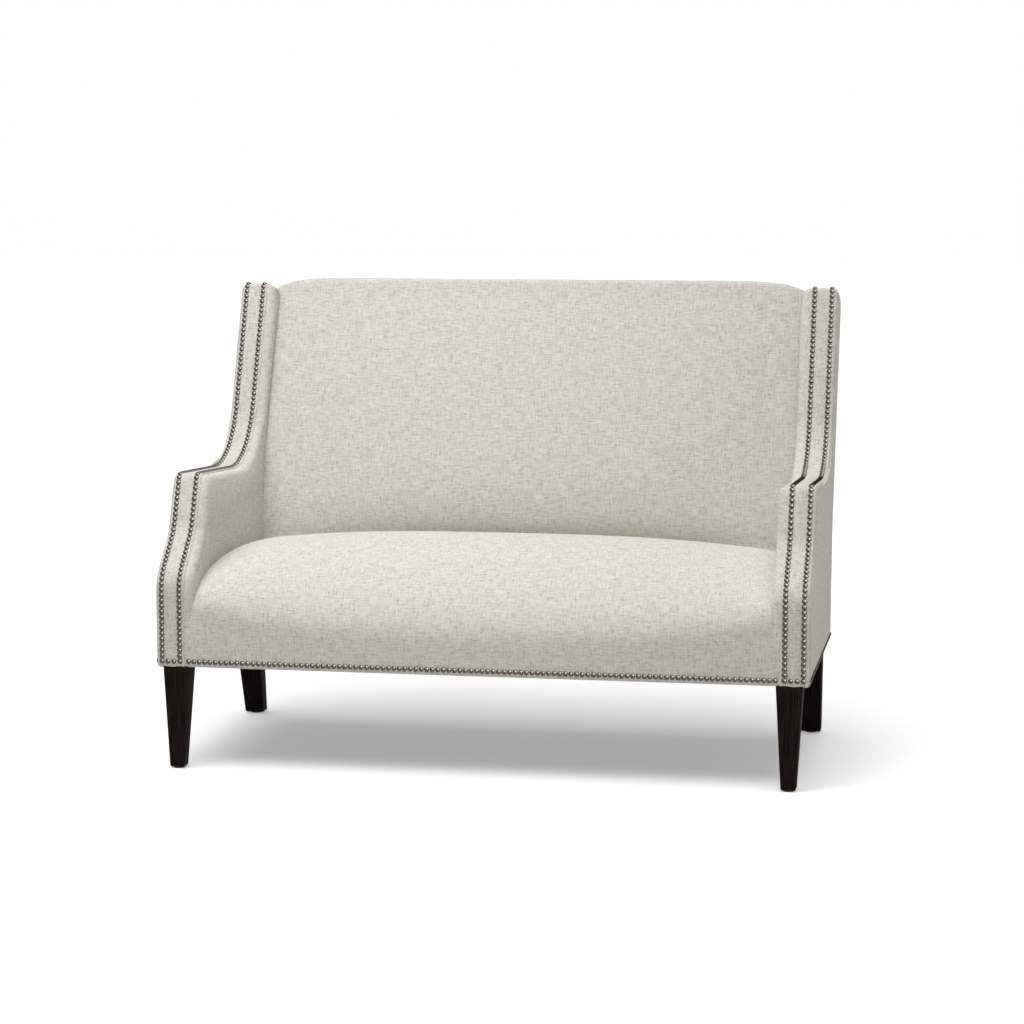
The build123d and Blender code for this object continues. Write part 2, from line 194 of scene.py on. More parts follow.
@dataclass(frozen=True)
class LinenCloth:
    """Upholstery linen in a plain weave: matt, with slubs along both threads and brown flecks of bast.

    The sizes are those of a coarse linen, apart from the thread, which is drawn coarser so as to show.
    """

    name: str = "linen_plain_weave"
    ground: str = "#dcdad4"
    slub: str = "#ccc9c1"
    bright: str = "#e8e6e1"
    warm: str = "#cfc5b1"
    fleck: str = "#957f60"
    thread_mm: float = 2.8
    slub_mm: float = 26.0
    cloud_mm: float = 24.0
    fleck_mm: tuple[float, float] = (15.0, 4.0)
    warp_share: float = 0.45
    thread_stops: tuple[float, float, float] = (0.35, 0.50, 0.65)
    shifts: tuple[float, ...] = (0.0, 7.3, 21.7, 33.1)
    cloud_detail: float = 3.0
    cloud_span: tuple[float, float, float] = (0.46, 0.74, 0.36)
    fleck_span: tuple[float, float, float] = (0.62, 0.76, 0.42)
    relief: tuple[float, float] = (0.3, 0.0006)
    roughness: float = 0.92

    def build(self) -> bpy.types.Material:
        """Makes the cloth's material on the piece's own map, in metres.

        Returns:
            The material.
        """
        material, tree, shader = new_material(self.name)
        slub_mm = (self.slub_mm, self.thread_mm)
        sizes = (slub_mm, slub_mm[::-1], self.fleck_mm, self.fleck_mm[::-1])
        weft, warp, level, upright = (
            self.streaks(tree, size, shift) for size, shift in zip(sizes, self.shifts)
        )
        threads = add_node(
            tree, "ShaderNodeMix", {"data_type": "FLOAT"}, i0=self.warp_share, i2=weft, i3=warp
        ).outputs[0]
        stops = tuple(zip(self.thread_stops, (self.slub, self.ground, self.bright)))
        colour = add_node(tree, "ShaderNodeValToRGB", {"stops": stops}, Fac=threads).outputs[0]
        cloud = self.streaks(tree, (self.cloud_mm, self.cloud_mm), 0.0, self.cloud_detail)
        colour = self.tint(tree, colour, cloud, self.cloud_span, self.warm)
        flecks = add_node(tree, "ShaderNodeMath", {"operation": "MAXIMUM"}, i0=level, i1=upright).outputs[0]
        colour = self.tint(tree, colour, flecks, self.fleck_span, self.fleck)
        coat(shader, colour, threads, self.relief, Roughness=self.roughness, Specular_IOR_Level=0.0)
        return material

    def tint(self, tree: bpy.types.NodeTree, under: Any, noise: Any, span: tuple, over: str) -> Any:
        """Lays a colour over another where a noise is strong.

        Args:
            tree: node tree of the cloth.
            under: socket with the colour so far.
            noise: socket with the noise.
            span: noise where the colour starts and where it is full, and its share there.
            over: hex colour that is laid over.

        Returns:
            The socket with the new colour.
        """
        start, end, full = span
        share = add_node(
            tree, "ShaderNodeMapRange", {"clamp": True}, i0=noise, i1=start, i2=end, i3=0.0, i4=full
        ).outputs[0]
        mix = add_node(tree, "ShaderNodeMix", {"data_type": "RGBA"}, i0=share, i6=under, i7=linear(over))
        return mix.outputs[2]

    def streaks(
        self, tree: bpy.types.NodeTree, size_mm: tuple[float, float], shift: float, detail: float = 2.0
    ) -> Any:
        """Noise drawn out along one thread.

        Args:
            tree: node tree of the cloth.
            size_mm: length of a streak along the weft and along the warp.
            shift: move that keeps one noise apart from another.
            detail: how broken up its edge is.

        Returns:
            A socket from 0 to 1.
        """
        place = add_node(tree, "ShaderNodeUVMap", {"uv_map": CLOTH_MAP}).outputs["UV"]
        scale = (1000 / size_mm[0], 1000 / size_mm[1], 1.0)
        mapped = add_node(
            tree, "ShaderNodeMapping", Vector=place, Location=(shift, shift, 0.0), Scale=scale
        ).outputs[0]
        flat = {"noise_dimensions": "2D"}
        noise = add_node(
            tree, "ShaderNodeTexNoise", flat, Vector=mapped, Scale=1.0, Detail=detail, Roughness=0.5
        )
        return noise.outputs["Fac"]


@dataclass(frozen=True)
class NailMetal:
    """Steel nail heads with a pewter plate: polished on the crown, with dark patina left in the rim."""

    name: str = "pewter_plated_steel"
    crown: str = "#54514d"
    rim: str = "#34322f"
    glancing: str = "#6a6763"
    wear_mm: float = 4.0
    wear_share: float = 0.25
    wear_stops: tuple[float, float] = (0.22, 0.78)
    roughness: float = 0.26

    def build(self) -> bpy.types.Material:
        """Makes the nails' material on their attribute of polish, 1 on the crown and 0 at the rim.

        Returns:
            The material.
        """
        material, tree, shader = new_material(self.name)
        polish = add_node(tree, "ShaderNodeAttribute", {"attribute_name": POLISH}).outputs["Fac"]
        place = add_node(tree, "ShaderNodeTexCoord").outputs["Object"]
        worn = add_node(tree, "ShaderNodeTexNoise", Vector=place, Scale=1000 / self.wear_mm, Detail=2.0)
        mixed = add_node(
            tree,
            "ShaderNodeMath",
            {"operation": "MULTIPLY_ADD"},
            i0=worn.outputs["Fac"],
            i1=self.wear_share,
            i2=polish,
        ).outputs[0]
        stops = tuple(zip(self.wear_stops, (self.rim, self.crown)))
        colour = add_node(tree, "ShaderNodeValToRGB", {"stops": stops}, Fac=mixed).outputs[0]
        tree.links.new(colour, shader.inputs["Base Color"])
        shader.inputs["Metallic"].default_value = 1.0
        shader.inputs["Specular Tint"].default_value = linear(self.glancing)
        shader.inputs["Roughness"].default_value = self.roughness
        return material


@dataclass(frozen=True)
class StainedWood:
    """Planed hardwood, stained or bare: long pores along the grain, and a dull satin.

    The pores are drawn coarser than real ones so as to show.
    """

    name: str
    dark: str
    light: str
    pore_mm: float = 1.6
    figure_mm: float = 60.0
    roughness: float = 0.55
    gloss: float = 0.3
    mapped: bool = False
    relief: tuple[float, float] = (0.25, 0.0004)
    grain_stops: tuple[float, float] = (0.38, 0.68)

    def build(self) -> bpy.types.Material:
        """Makes the wood's material, with grain along the piece's own map or along Z.

        Returns:
            The material.
        """
        material, tree, shader = new_material(self.name)
        fine, slow = 1000 / self.pore_mm, 1000 / self.figure_mm
        if self.mapped:
            place = add_node(tree, "ShaderNodeUVMap", {"uv_map": CLOTH_MAP}).outputs["UV"]
            scale = (fine, slow, fine)
        else:
            place = add_node(tree, "ShaderNodeTexCoord").outputs["Object"]
            scale = (fine, fine, slow)
        mapped = add_node(tree, "ShaderNodeMapping", Vector=place, Scale=scale).outputs[0]
        noise = add_node(tree, "ShaderNodeTexNoise", Vector=mapped, Scale=1.0, Detail=4.0, Roughness=0.65)
        grain = noise.outputs["Fac"]
        stops = tuple(zip(self.grain_stops, (self.dark, self.light)))
        colour = add_node(tree, "ShaderNodeValToRGB", {"stops": stops}, Fac=grain).outputs[0]
        coat(shader, colour, grain, self.relief, Roughness=self.roughness, Specular_IOR_Level=self.gloss)
        return material


@dataclass(frozen=True)
class Layered:
    """Plywood, webbing, dust cloth, moulded plastic or plated steel: a base colour with fine mottling.

    The mottling is drawn as coarse as it needs to be to show.
    """

    name: str
    dark: str
    light: str
    grain_mm: tuple[float, float, float]
    roughness: float = 0.6
    metallic: float = 0.0
    relief: tuple[float, float] = (0.2, 0.0003)
    grain_stops: tuple[float, float] = (0.35, 0.65)

    def build(self) -> bpy.types.Material:
        """Makes the material on Object coordinates, with its mottling drawn out as its grain asks.

        Returns:
            The material.
        """
        material, tree, shader = new_material(self.name)
        place = add_node(tree, "ShaderNodeTexCoord").outputs["Object"]
        scale = tuple(1000 / size for size in self.grain_mm)
        mapped = add_node(tree, "ShaderNodeMapping", Vector=place, Scale=scale).outputs[0]
        grain = add_node(tree, "ShaderNodeTexNoise", Vector=mapped, Scale=1.0, Detail=3.0).outputs["Fac"]
        stops = tuple(zip(self.grain_stops, (self.dark, self.light)))
        colour = add_node(tree, "ShaderNodeValToRGB", {"stops": stops}, Fac=grain).outputs[0]
        coat(shader, colour, grain, self.relief, Roughness=self.roughness, Metallic=self.metallic)
        return material


def smooth_step(value: np.ndarray, low: float, high: float) -> np.ndarray:
    """Rises smoothly from 0 at low to 1 at high: 3t^2 - 2t^3 of the clipped share t."""
    share = np.clip((value - low) / (high - low), 0.0, 1.0)
    return share * share * (3 - 2 * share)


def blend(pair: tuple[float, float], share: np.ndarray) -> np.ndarray:
    """Goes from the first of a pair at a share of 0 to the second at 1, in proportion."""
    return pair[0] + (pair[1] - pair[0]) * share


def quarter(count: int) -> np.ndarray:
    """Angles of a quarter turn in even steps, both ends among them."""
    return np.linspace(0, pi / 2, count)


def edge_drop(distance: np.ndarray, width: Any, depth: Any, turn: Any = 1.0) -> np.ndarray:
    """Depth of an arc of an ellipse that rounds an edge: deepest at the edge, none past its width.

    Args:
        distance: how far each point lies from the edge.
        width: how far the rounding reaches, for all points or for each.
        depth: how deep a whole quarter ellipse is at the edge.
        turn: share of the quarter's width that is used; under 1 the arc ends before it stands upright.

    Returns:
        The drop at each point.
    """
    share = turn * np.clip(1 - distance / width, 0.0, 1.0)
    return depth * (1 - np.sqrt(1 - share**2))


def pressed_in(y: np.ndarray, z: np.ndarray, drop: np.ndarray) -> tuple[np.ndarray, np.ndarray]:
    """Moves the points of side sections inwards, square to the line of each section.

    Args:
        y: depths of the points, with one section in each column.
        z: their heights.
        drop: how far each point moves.

    Returns:
        The new depths and heights.
    """
    slope_y, slope_z = np.gradient(y, axis=0), np.gradient(z, axis=0)
    length = np.hypot(slope_y, slope_z)
    return y + drop * slope_z / length, z - drop * slope_y / length


def joined(runs: Sequence[tuple], share: np.ndarray) -> tuple[np.ndarray, np.ndarray]:
    """Joins runs into side sections, one for each column.

    Args:
        runs: depths and heights of each run, as columns, as grids or the same all over.
        share: places of the columns across the width.

    Returns:
        Depths and heights of all points.
    """
    spread = [np.broadcast_arrays(y, z, share)[:2] for y, z in runs]
    return np.concatenate([y for y, _ in spread]), np.concatenate([z for _, z in spread])


def quads(rows: int, cols: int, start: int = 0) -> np.ndarray:
    """Corner indices of the faces of a grid.

    Args:
        rows: points along the first parameter.
        cols: points along the second.
        start: index of the grid's first point.

    Returns:
        One row of four indices for each face.
    """
    index = start + np.arange(rows * cols).reshape(rows, cols)
    corners = (index[:-1, :-1], index[:-1, 1:], index[1:, 1:], index[1:, :-1])
    return np.stack([c.ravel() for c in corners], axis=1)


def along_lengths(points: np.ndarray, axis: int) -> np.ndarray:
    """Length run along one axis of a grid: the sum of the steps from its first point.

    Args:
        points: rows by columns by three.
        axis: 0 along the rows, 1 along the columns.

    Returns:
        The length at each point.
    """
    steps = np.linalg.norm(np.diff(points, axis=axis), axis=2)
    start = np.zeros_like(np.take(steps, [0], axis=axis))
    return np.concatenate([start, np.cumsum(steps, axis=axis)], axis=axis)


def linked(name: str, data: bpy.types.ID) -> bpy.types.Object:
    """Makes an object and links it to the scene.

    Args:
        name: name of the object.
        data: its mesh, lamp or camera.

    Returns:
        The object.
    """
    holder = bpy.data.objects.new(name, data)
    bpy.context.scene.collection.objects.link(holder)
    return holder


def aim(holder: bpy.types.Object, axis: str, direction: Sequence[float]) -> None:
    """Turns an object so that one of its axes points in a direction."""
    holder.rotation_mode = "QUATERNION"
    holder.rotation_quaternion = Vector(direction).to_track_quat(axis, "Y")


def make_piece(
    name: str,
    points: np.ndarray,
    faces: list,
    material: bpy.types.Material,
    flat: Optional[np.ndarray] = None,
    merge: float = 0.0,
) -> bpy.types.Object:
    """Makes a smooth shaded object from points and faces.

    Args:
        name: name of the piece.
        points: places of its points.
        faces: corner indices of its faces.
        material: finish of the piece.
        flat: place of each point on the flat cloth or wood, kept as a map.
        merge: distance under which points are merged, for grids that close to a tip.

    Returns:
        The object, linked to the scene.
    """
    mesh = bpy.data.meshes.new(name)
    mesh.from_pydata(points.tolist(), [], faces)
    if flat is not None:
        corners = np.empty(len(mesh.loops), np.int32)
        mesh.loops.foreach_get("vertex_index", corners)
        layer = mesh.uv_layers.new(name=CLOTH_MAP)
        layer.data.foreach_set("uv", flat[corners].astype(np.float32).ravel())
    if merge:
        work = bmesh.new()
        work.from_mesh(mesh)
        bmesh.ops.remove_doubles(work, verts=work.verts, dist=merge)
        work.to_mesh(mesh)
        work.free()
    mesh.polygons.foreach_set("use_smooth", np.ones(len(mesh.polygons), bool))
    mesh.materials.append(material)
    mesh.update()
    return linked(name, mesh)


@dataclass
class Surface:
    """A mesh in the making: its points, its faces and the place of each point on the flat cloth."""

    points: np.ndarray
    faces: np.ndarray
    flat: np.ndarray
    held: Optional[np.ndarray] = None

    @classmethod
    def sheet(cls, grid: np.ndarray, flat: Optional[np.ndarray] = None) -> "Surface":
        """Open surface over a grid of points, with lengths along the grid as its flat places.

        Args:
            grid: rows by columns by three.
            flat: flat places where they aren't the lengths along the grid.

        Returns:
            The surface.
        """
        rows, cols = grid.shape[:2]
        if flat is None:
            flat = np.stack([along_lengths(grid, 1), along_lengths(grid, 0)], axis=2)
        return cls(grid.reshape(-1, 3), quads(rows, cols), flat.reshape(-1, 2))

    @classmethod
    def slab(cls, front: np.ndarray, rear: np.ndarray, flat: np.ndarray, still: int = 0) -> "Surface":
        """Closed pad between a front grid and a rear grid, joined all round by walls.

        Args:
            front: rows by columns by three, the face that shows.
            rear: the same grid on the face behind.
            flat: flat place of each front point.
            still: columns at the start that a simulation holds still, besides two at each border.

        Returns:
            The closed surface, with the points that are held marked.
        """
        rows, cols = front.shape[:2]
        count = rows * cols
        index = np.arange(count).reshape(rows, cols)
        loop = np.concatenate([index[0, :-1], index[:-1, -1], index[-1, :0:-1], index[:0:-1, 0]])
        after = np.roll(loop, -1)
        wall = np.stack([after, loop, loop + count, after + count], axis=1)
        faces = np.concatenate([quads(rows, cols), quads(rows, cols, count)[:, ::-1], wall])
        free = np.zeros((rows, cols), bool)
        free[2:-2, max(2, still) : -2] = True
        held = np.concatenate([~free.ravel(), np.ones(count, bool)])
        points = np.concatenate([front.reshape(-1, 3), rear.reshape(-1, 3)])
        return cls(points, faces, np.tile(flat.reshape(-1, 2), (2, 1)), held)

    def on(self, side: Side) -> "Surface":
        """The surface on a side, where it was worked out for the right: the left is its mirror image.

        Args:
            side: side of the settee.

        Returns:
            The surface itself, or its mirror image with its faces turned round.
        """
        if side is Side.RIGHT:
            return self
        return Surface(self.points * (-1, 1, 1), self.faces[:, ::-1], self.flat * (-1, 1), self.held)

    def area(self) -> float:
        """Area of all faces: half the cross product of the diagonals of each.

        Returns:
            The area in square metres.
        """
        corners = self.points[self.faces]
        crossed = np.cross(corners[:, 2] - corners[:, 0], corners[:, 3] - corners[:, 1])
        return float(np.linalg.norm(crossed, axis=1).sum() / 2)

    def build(self, name: str, material: bpy.types.Material, merge: float = 0.0) -> bpy.types.Object:
        """Makes the object, with its flat places as a map; points closer than merge become one."""
        return make_piece(name, self.points, self.faces.tolist(), material, self.flat, merge)


def dress(piece: bpy.types.Object, slot: str, *nodes: str) -> bpy.types.Object:
    """Rides a piece on the settee and hides the nodes that it stands for.

    Args:
        piece: the finished object.
        slot: not used.
        nodes: nodes that the piece stands for.

    Returns:
        The piece.
    """
    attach(piece, BODY)
    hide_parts(*nodes)
    LOG.info("%s: %d points for %s", piece.name, len(piece.data.vertices), ", ".join(nodes))
    return piece


def thicken(piece: bpy.types.Object, thickness: float) -> None:
    """Gives a sheet its thickness, inwards from the face that shows.

    Args:
        piece: open sheet.
        thickness: its thickness in metres.
    """
    solid = piece.modifiers.new("thickness", "SOLIDIFY")
    solid.thickness = thickness
    solid.offset = -1.0


def refine(piece: bpy.types.Object) -> None:
    """Rounds a piece by one level of subdivision.

    Args:
        piece: closed pad.
    """
    smooth = piece.modifiers.new("smooth", "SUBSURF")
    smooth.levels = 1
    smooth.render_levels = 1


@dataclass
class Swell:
    """Cloth simulation that puffs a pad up from inside, as its padding does."""

    pressure: float = 4.0
    frames: int = 20
    quality: int = 4
    limit: float = 0.008

    @staticmethod
    def places(mesh: bpy.types.Mesh) -> np.ndarray:
        """Reads the places of a mesh's points.

        Args:
            mesh: mesh of a piece.

        Returns:
            One row for each point.
        """
        values = np.empty(len(mesh.vertices) * 3, np.float32)
        mesh.vertices.foreach_get("co", values)
        return values.reshape(-1, 3)

    def run(self, piece: bpy.types.Object, held: np.ndarray) -> None:
        """Swells a closed piece, with its hidden points held, and writes the capped result to its mesh.

        A point that moves by d ends up at the limit times the hyperbolic tangent of d over the limit.

        Args:
            piece: closed pad.
            held: mark of the points that don't move.
        """
        group = piece.vertex_groups.new(name="held")
        group.add(np.flatnonzero(held).tolist(), 1.0, "REPLACE")
        cloth = piece.modifiers.new("swell", "CLOTH")
        cloth.settings.vertex_group_mass = group.name
        cloth.settings.use_pressure = True
        cloth.settings.uniform_pressure_force = self.pressure
        cloth.settings.effector_weights.gravity = 0.0
        cloth.settings.quality = self.quality
        cloth.collision_settings.use_collision = False
        cloth.point_cache.frame_end = self.frames
        scene = bpy.context.scene
        for frame in range(1, self.frames + 1):
            scene.frame_set(frame)
        before = self.places(piece.data)
        move = self.places(piece.evaluated_get(bpy.context.evaluated_depsgraph_get()).data) - before
        far = np.linalg.norm(move, axis=1, keepdims=True)
        move *= self.limit * np.tanh(far / self.limit) / np.maximum(far, 1e-9)
        piece.modifiers.remove(cloth)
        piece.vertex_groups.remove(group)
        piece.data.vertices.foreach_set("co", (before + move).ravel())
        piece.data.update()
        scene.frame_set(1)
        LOG.info("%s: swelled by up to %.1f mm", piece.name, 1000 * np.linalg.norm(move, axis=1).max())


@dataclass
class RoundedPath:
    """A line through corners in the plane of the side, with an arc at each inner corner."""

    corners: Sequence[tuple[float, float]]
    radii: Sequence[float]
    step: float = 0.0005
    near: float = 0.002
    least_points: int = 4

    def __post_init__(self) -> None:
        """Lays out the line.

        A straight run ends before a corner by the radius times the tangent of half the turn.
        """
        corners = np.array(self.corners, float)
        runs = [corners[:1]]
        for before, corner, after, radius in zip(corners, corners[1:], corners[2:], self.radii):
            come = (corner - before) / np.linalg.norm(corner - before)
            leave = (after - corner) / np.linalg.norm(after - corner)
            turn = atan2(come[0] * leave[1] - come[1] * leave[0], come @ leave)
            reach = radius * tan(abs(turn) / 2)
            inward = np.array([-come[1], come[0]]) * np.sign(turn)
            centre = corner - come * reach + inward * radius
            count = max(self.least_points, int(radius * abs(turn) / self.step))
            angles = np.linspace(0, abs(turn), count)[:, None]
            runs.append(centre - inward * radius * np.cos(angles) + come * radius * np.sin(angles))
        runs.append(corners[-1:])
        self.line = np.concatenate(runs)
        steps = np.linalg.norm(np.diff(self.line, axis=0), axis=1)
        self.run = np.concatenate([[0.0], np.cumsum(steps)])
        self.length = float(self.run[-1])

    def points(self, stations: np.ndarray) -> np.ndarray:
        """Places as (y, z) at lengths along the line."""
        return np.stack([np.interp(stations, self.run, self.line[:, i]) for i in (0, 1)], axis=1)

    def at(self, stations: np.ndarray) -> tuple[np.ndarray, np.ndarray]:
        """Places and inward directions at lengths along the line.

        Args:
            stations: lengths from the start.

        Returns:
            Points and unit vectors to the inside, both as (y, z).
        """
        ahead, behind = (np.clip(stations + way * self.near, 0, self.length) for way in (1, -1))
        heading = self.points(ahead) - self.points(behind)
        heading /= np.linalg.norm(heading, axis=1, keepdims=True)
        return self.points(stations), np.stack([heading[:, 1], -heading[:, 0]], axis=1)

    def carry(self, stations: np.ndarray, places: np.ndarray, depths: np.ndarray) -> np.ndarray:
        """Carries a section along the line.

        Args:
            stations: lengths from the start.
            places: places of the section's points across the width.
            depths: how far each of them lies inside the line.

        Returns:
            A grid of points, with one section in each row.
        """
        edge, inward = self.at(stations)
        yz = edge[:, None] + inward[:, None] * depths[None, :, None]
        x = np.broadcast_to(places[None, :, None], (*yz.shape[:2], 1))
        return np.concatenate([x, yz], axis=2)

    def spread(self, start: float, end: float, count: int, ease: float = 0.03) -> np.ndarray:
        """Stations closer together where the line turns: even steps of length plus ease times the turn.

        Args:
            start: first station.
            end: last station.
            count: how many there are.
            ease: length that one radian of turn counts as.

        Returns:
            Lengths from the start of the line.
        """
        steps = np.diff(self.line, axis=0)
        heading = np.unwrap(np.arctan2(steps[:, 1], steps[:, 0]))
        turned = np.concatenate([[0.0], np.cumsum(np.abs(np.diff(heading, prepend=heading[0])))])
        measure = self.run + ease * turned
        first, last = np.interp([start, end], self.run, measure)
        return np.interp(np.linspace(first, last, count), measure, self.run)

    def height_station(self, height: float) -> float:
        """Length along the line where it first reaches a height."""
        return float(np.interp(height, np.maximum.accumulate(self.line[:, 1]), self.run))


@dataclass
class SideOutline:
    """Outline of the arm and wing seen from the side, from the frame and the sizes of the settee."""

    front: float
    base: float
    half_width: float
    front_break: float = 0.402
    knee: tuple[float, float] = (0.093, 0.487)
    arm: tuple[float, float] = (0.141, 0.604)
    arm_fall: float = radians(3)
    wing_foot: float = 0.538
    wing_rake: float = radians(21.2)
    wing_height: float = 0.982
    top_fall: float = radians(14)
    back_thickness: float = 0.129
    rear_break: float = 0.461
    rear_base: float = 0.601
    back_plane: float = 0.0595
    hem_radius: float = 0.006
    hem_reach: float = 0.03
    nail_columns: tuple[float, float] = (0.6268, 0.6648)
    band_radii: tuple[float, ...] = (0.070, 0.100, 0.018, 0.190, 0.013)
    rear_radii: tuple[float, ...] = (0.040, 0.400)

    @property
    def wing_foot_height(self) -> float:
        """Height where the falling top of the arm meets the wing."""
        return self.arm[1] - tan(self.arm_fall) * (self.wing_foot - self.arm[0])

    def wing_line(self, height: Any) -> Any:
        """Depth of the wing's front edge at a height: the foot of the wing and the rake times the rise."""
        return self.front + self.wing_foot + tan(self.wing_rake) * (height - self.wing_foot_height)

    def padding_plane(self, height: Any, inset: float) -> Any:
        """Depth of the plane behind the padding of the back at a height, less an inset."""
        return self.wing_line(height) + self.back_thickness - self.back_plane - inset

    def top_corner(self, inset: float) -> tuple[float, float]:
        """Where the falling top of the wing meets the rear line drawn in by an inset.

        Args:
            inset: distance before the rear line.

        Returns:
            The place as (y, z).
        """
        fall = tan(self.top_fall)
        drop = fall * (self.back_thickness - inset) / (1 + fall * tan(self.wing_rake))
        height = self.wing_height - drop
        return float(self.wing_line(height)) + self.back_thickness - inset, height

    def edge_corners(self) -> list[tuple[float, float]]:
        """Corners of the front edge, from the base over the arm and wing to the back.

        Returns:
            Their places as (y, z).
        """
        nose = (float(self.wing_line(self.wing_height)), self.wing_height)
        shifted = [(self.front + y, z) for y, z in ((0.0, self.front_break), self.knee, self.arm)]
        foot = (self.front + self.wing_foot, self.wing_foot_height)
        return [(self.front, self.base), *shifted, foot, nose, self.top_corner(self.back_plane)]

    def edge(self, hem: bool) -> RoundedPath:
        """Line of the edge band.

        Args:
            hem: whether it starts with the turn under the base.

        Returns:
            The line from the base to the back.
        """
        corners = self.edge_corners()
        if not hem:
            return RoundedPath(corners, self.band_radii)
        under = (self.front + self.hem_reach, self.base)
        return RoundedPath([under, *corners], (self.hem_radius, *self.band_radii))

    def rear(self, hem: bool) -> RoundedPath:
        """Line of the outside back.

        Args:
            hem: whether it ends with the turn under the base.

        Returns:
            The line from the top down to the base.
        """
        middle = (float(self.wing_line(self.rear_break)) + self.back_thickness, self.rear_break)
        foot = (self.front + self.rear_base, self.base)
        corners = [self.top_corner(self.back_plane), self.top_corner(0.0), middle, foot]
        if not hem:
            return RoundedPath(corners, self.rear_radii)
        under = (foot[0] - self.hem_reach, self.base)
        return RoundedPath([*corners, under], (*self.rear_radii, self.hem_radius))


@dataclass(frozen=True)
class Fineness:
    """How many points the grids of the upholstery have along each of their runs."""

    under: int = 3
    hem: int = 5
    apron: int = 14
    roll: int = 18
    seat_top: int = 34
    seat_tuck: int = 7
    back_face: int = 46
    back_over: int = 10
    back_top: int = 7
    pad_length: int = 180
    pad_roll: int = 10
    pad_flat: int = 30
    corner: int = 7
    band_width: int = 22
    band_length: int = 300
    side_height: int = 90
    side_width: int = 64
    side_hem: int = 6
    rear_width: int = 61
    rear_length: int = 130
    dust_width: int = 54
    dust_depth: int = 26


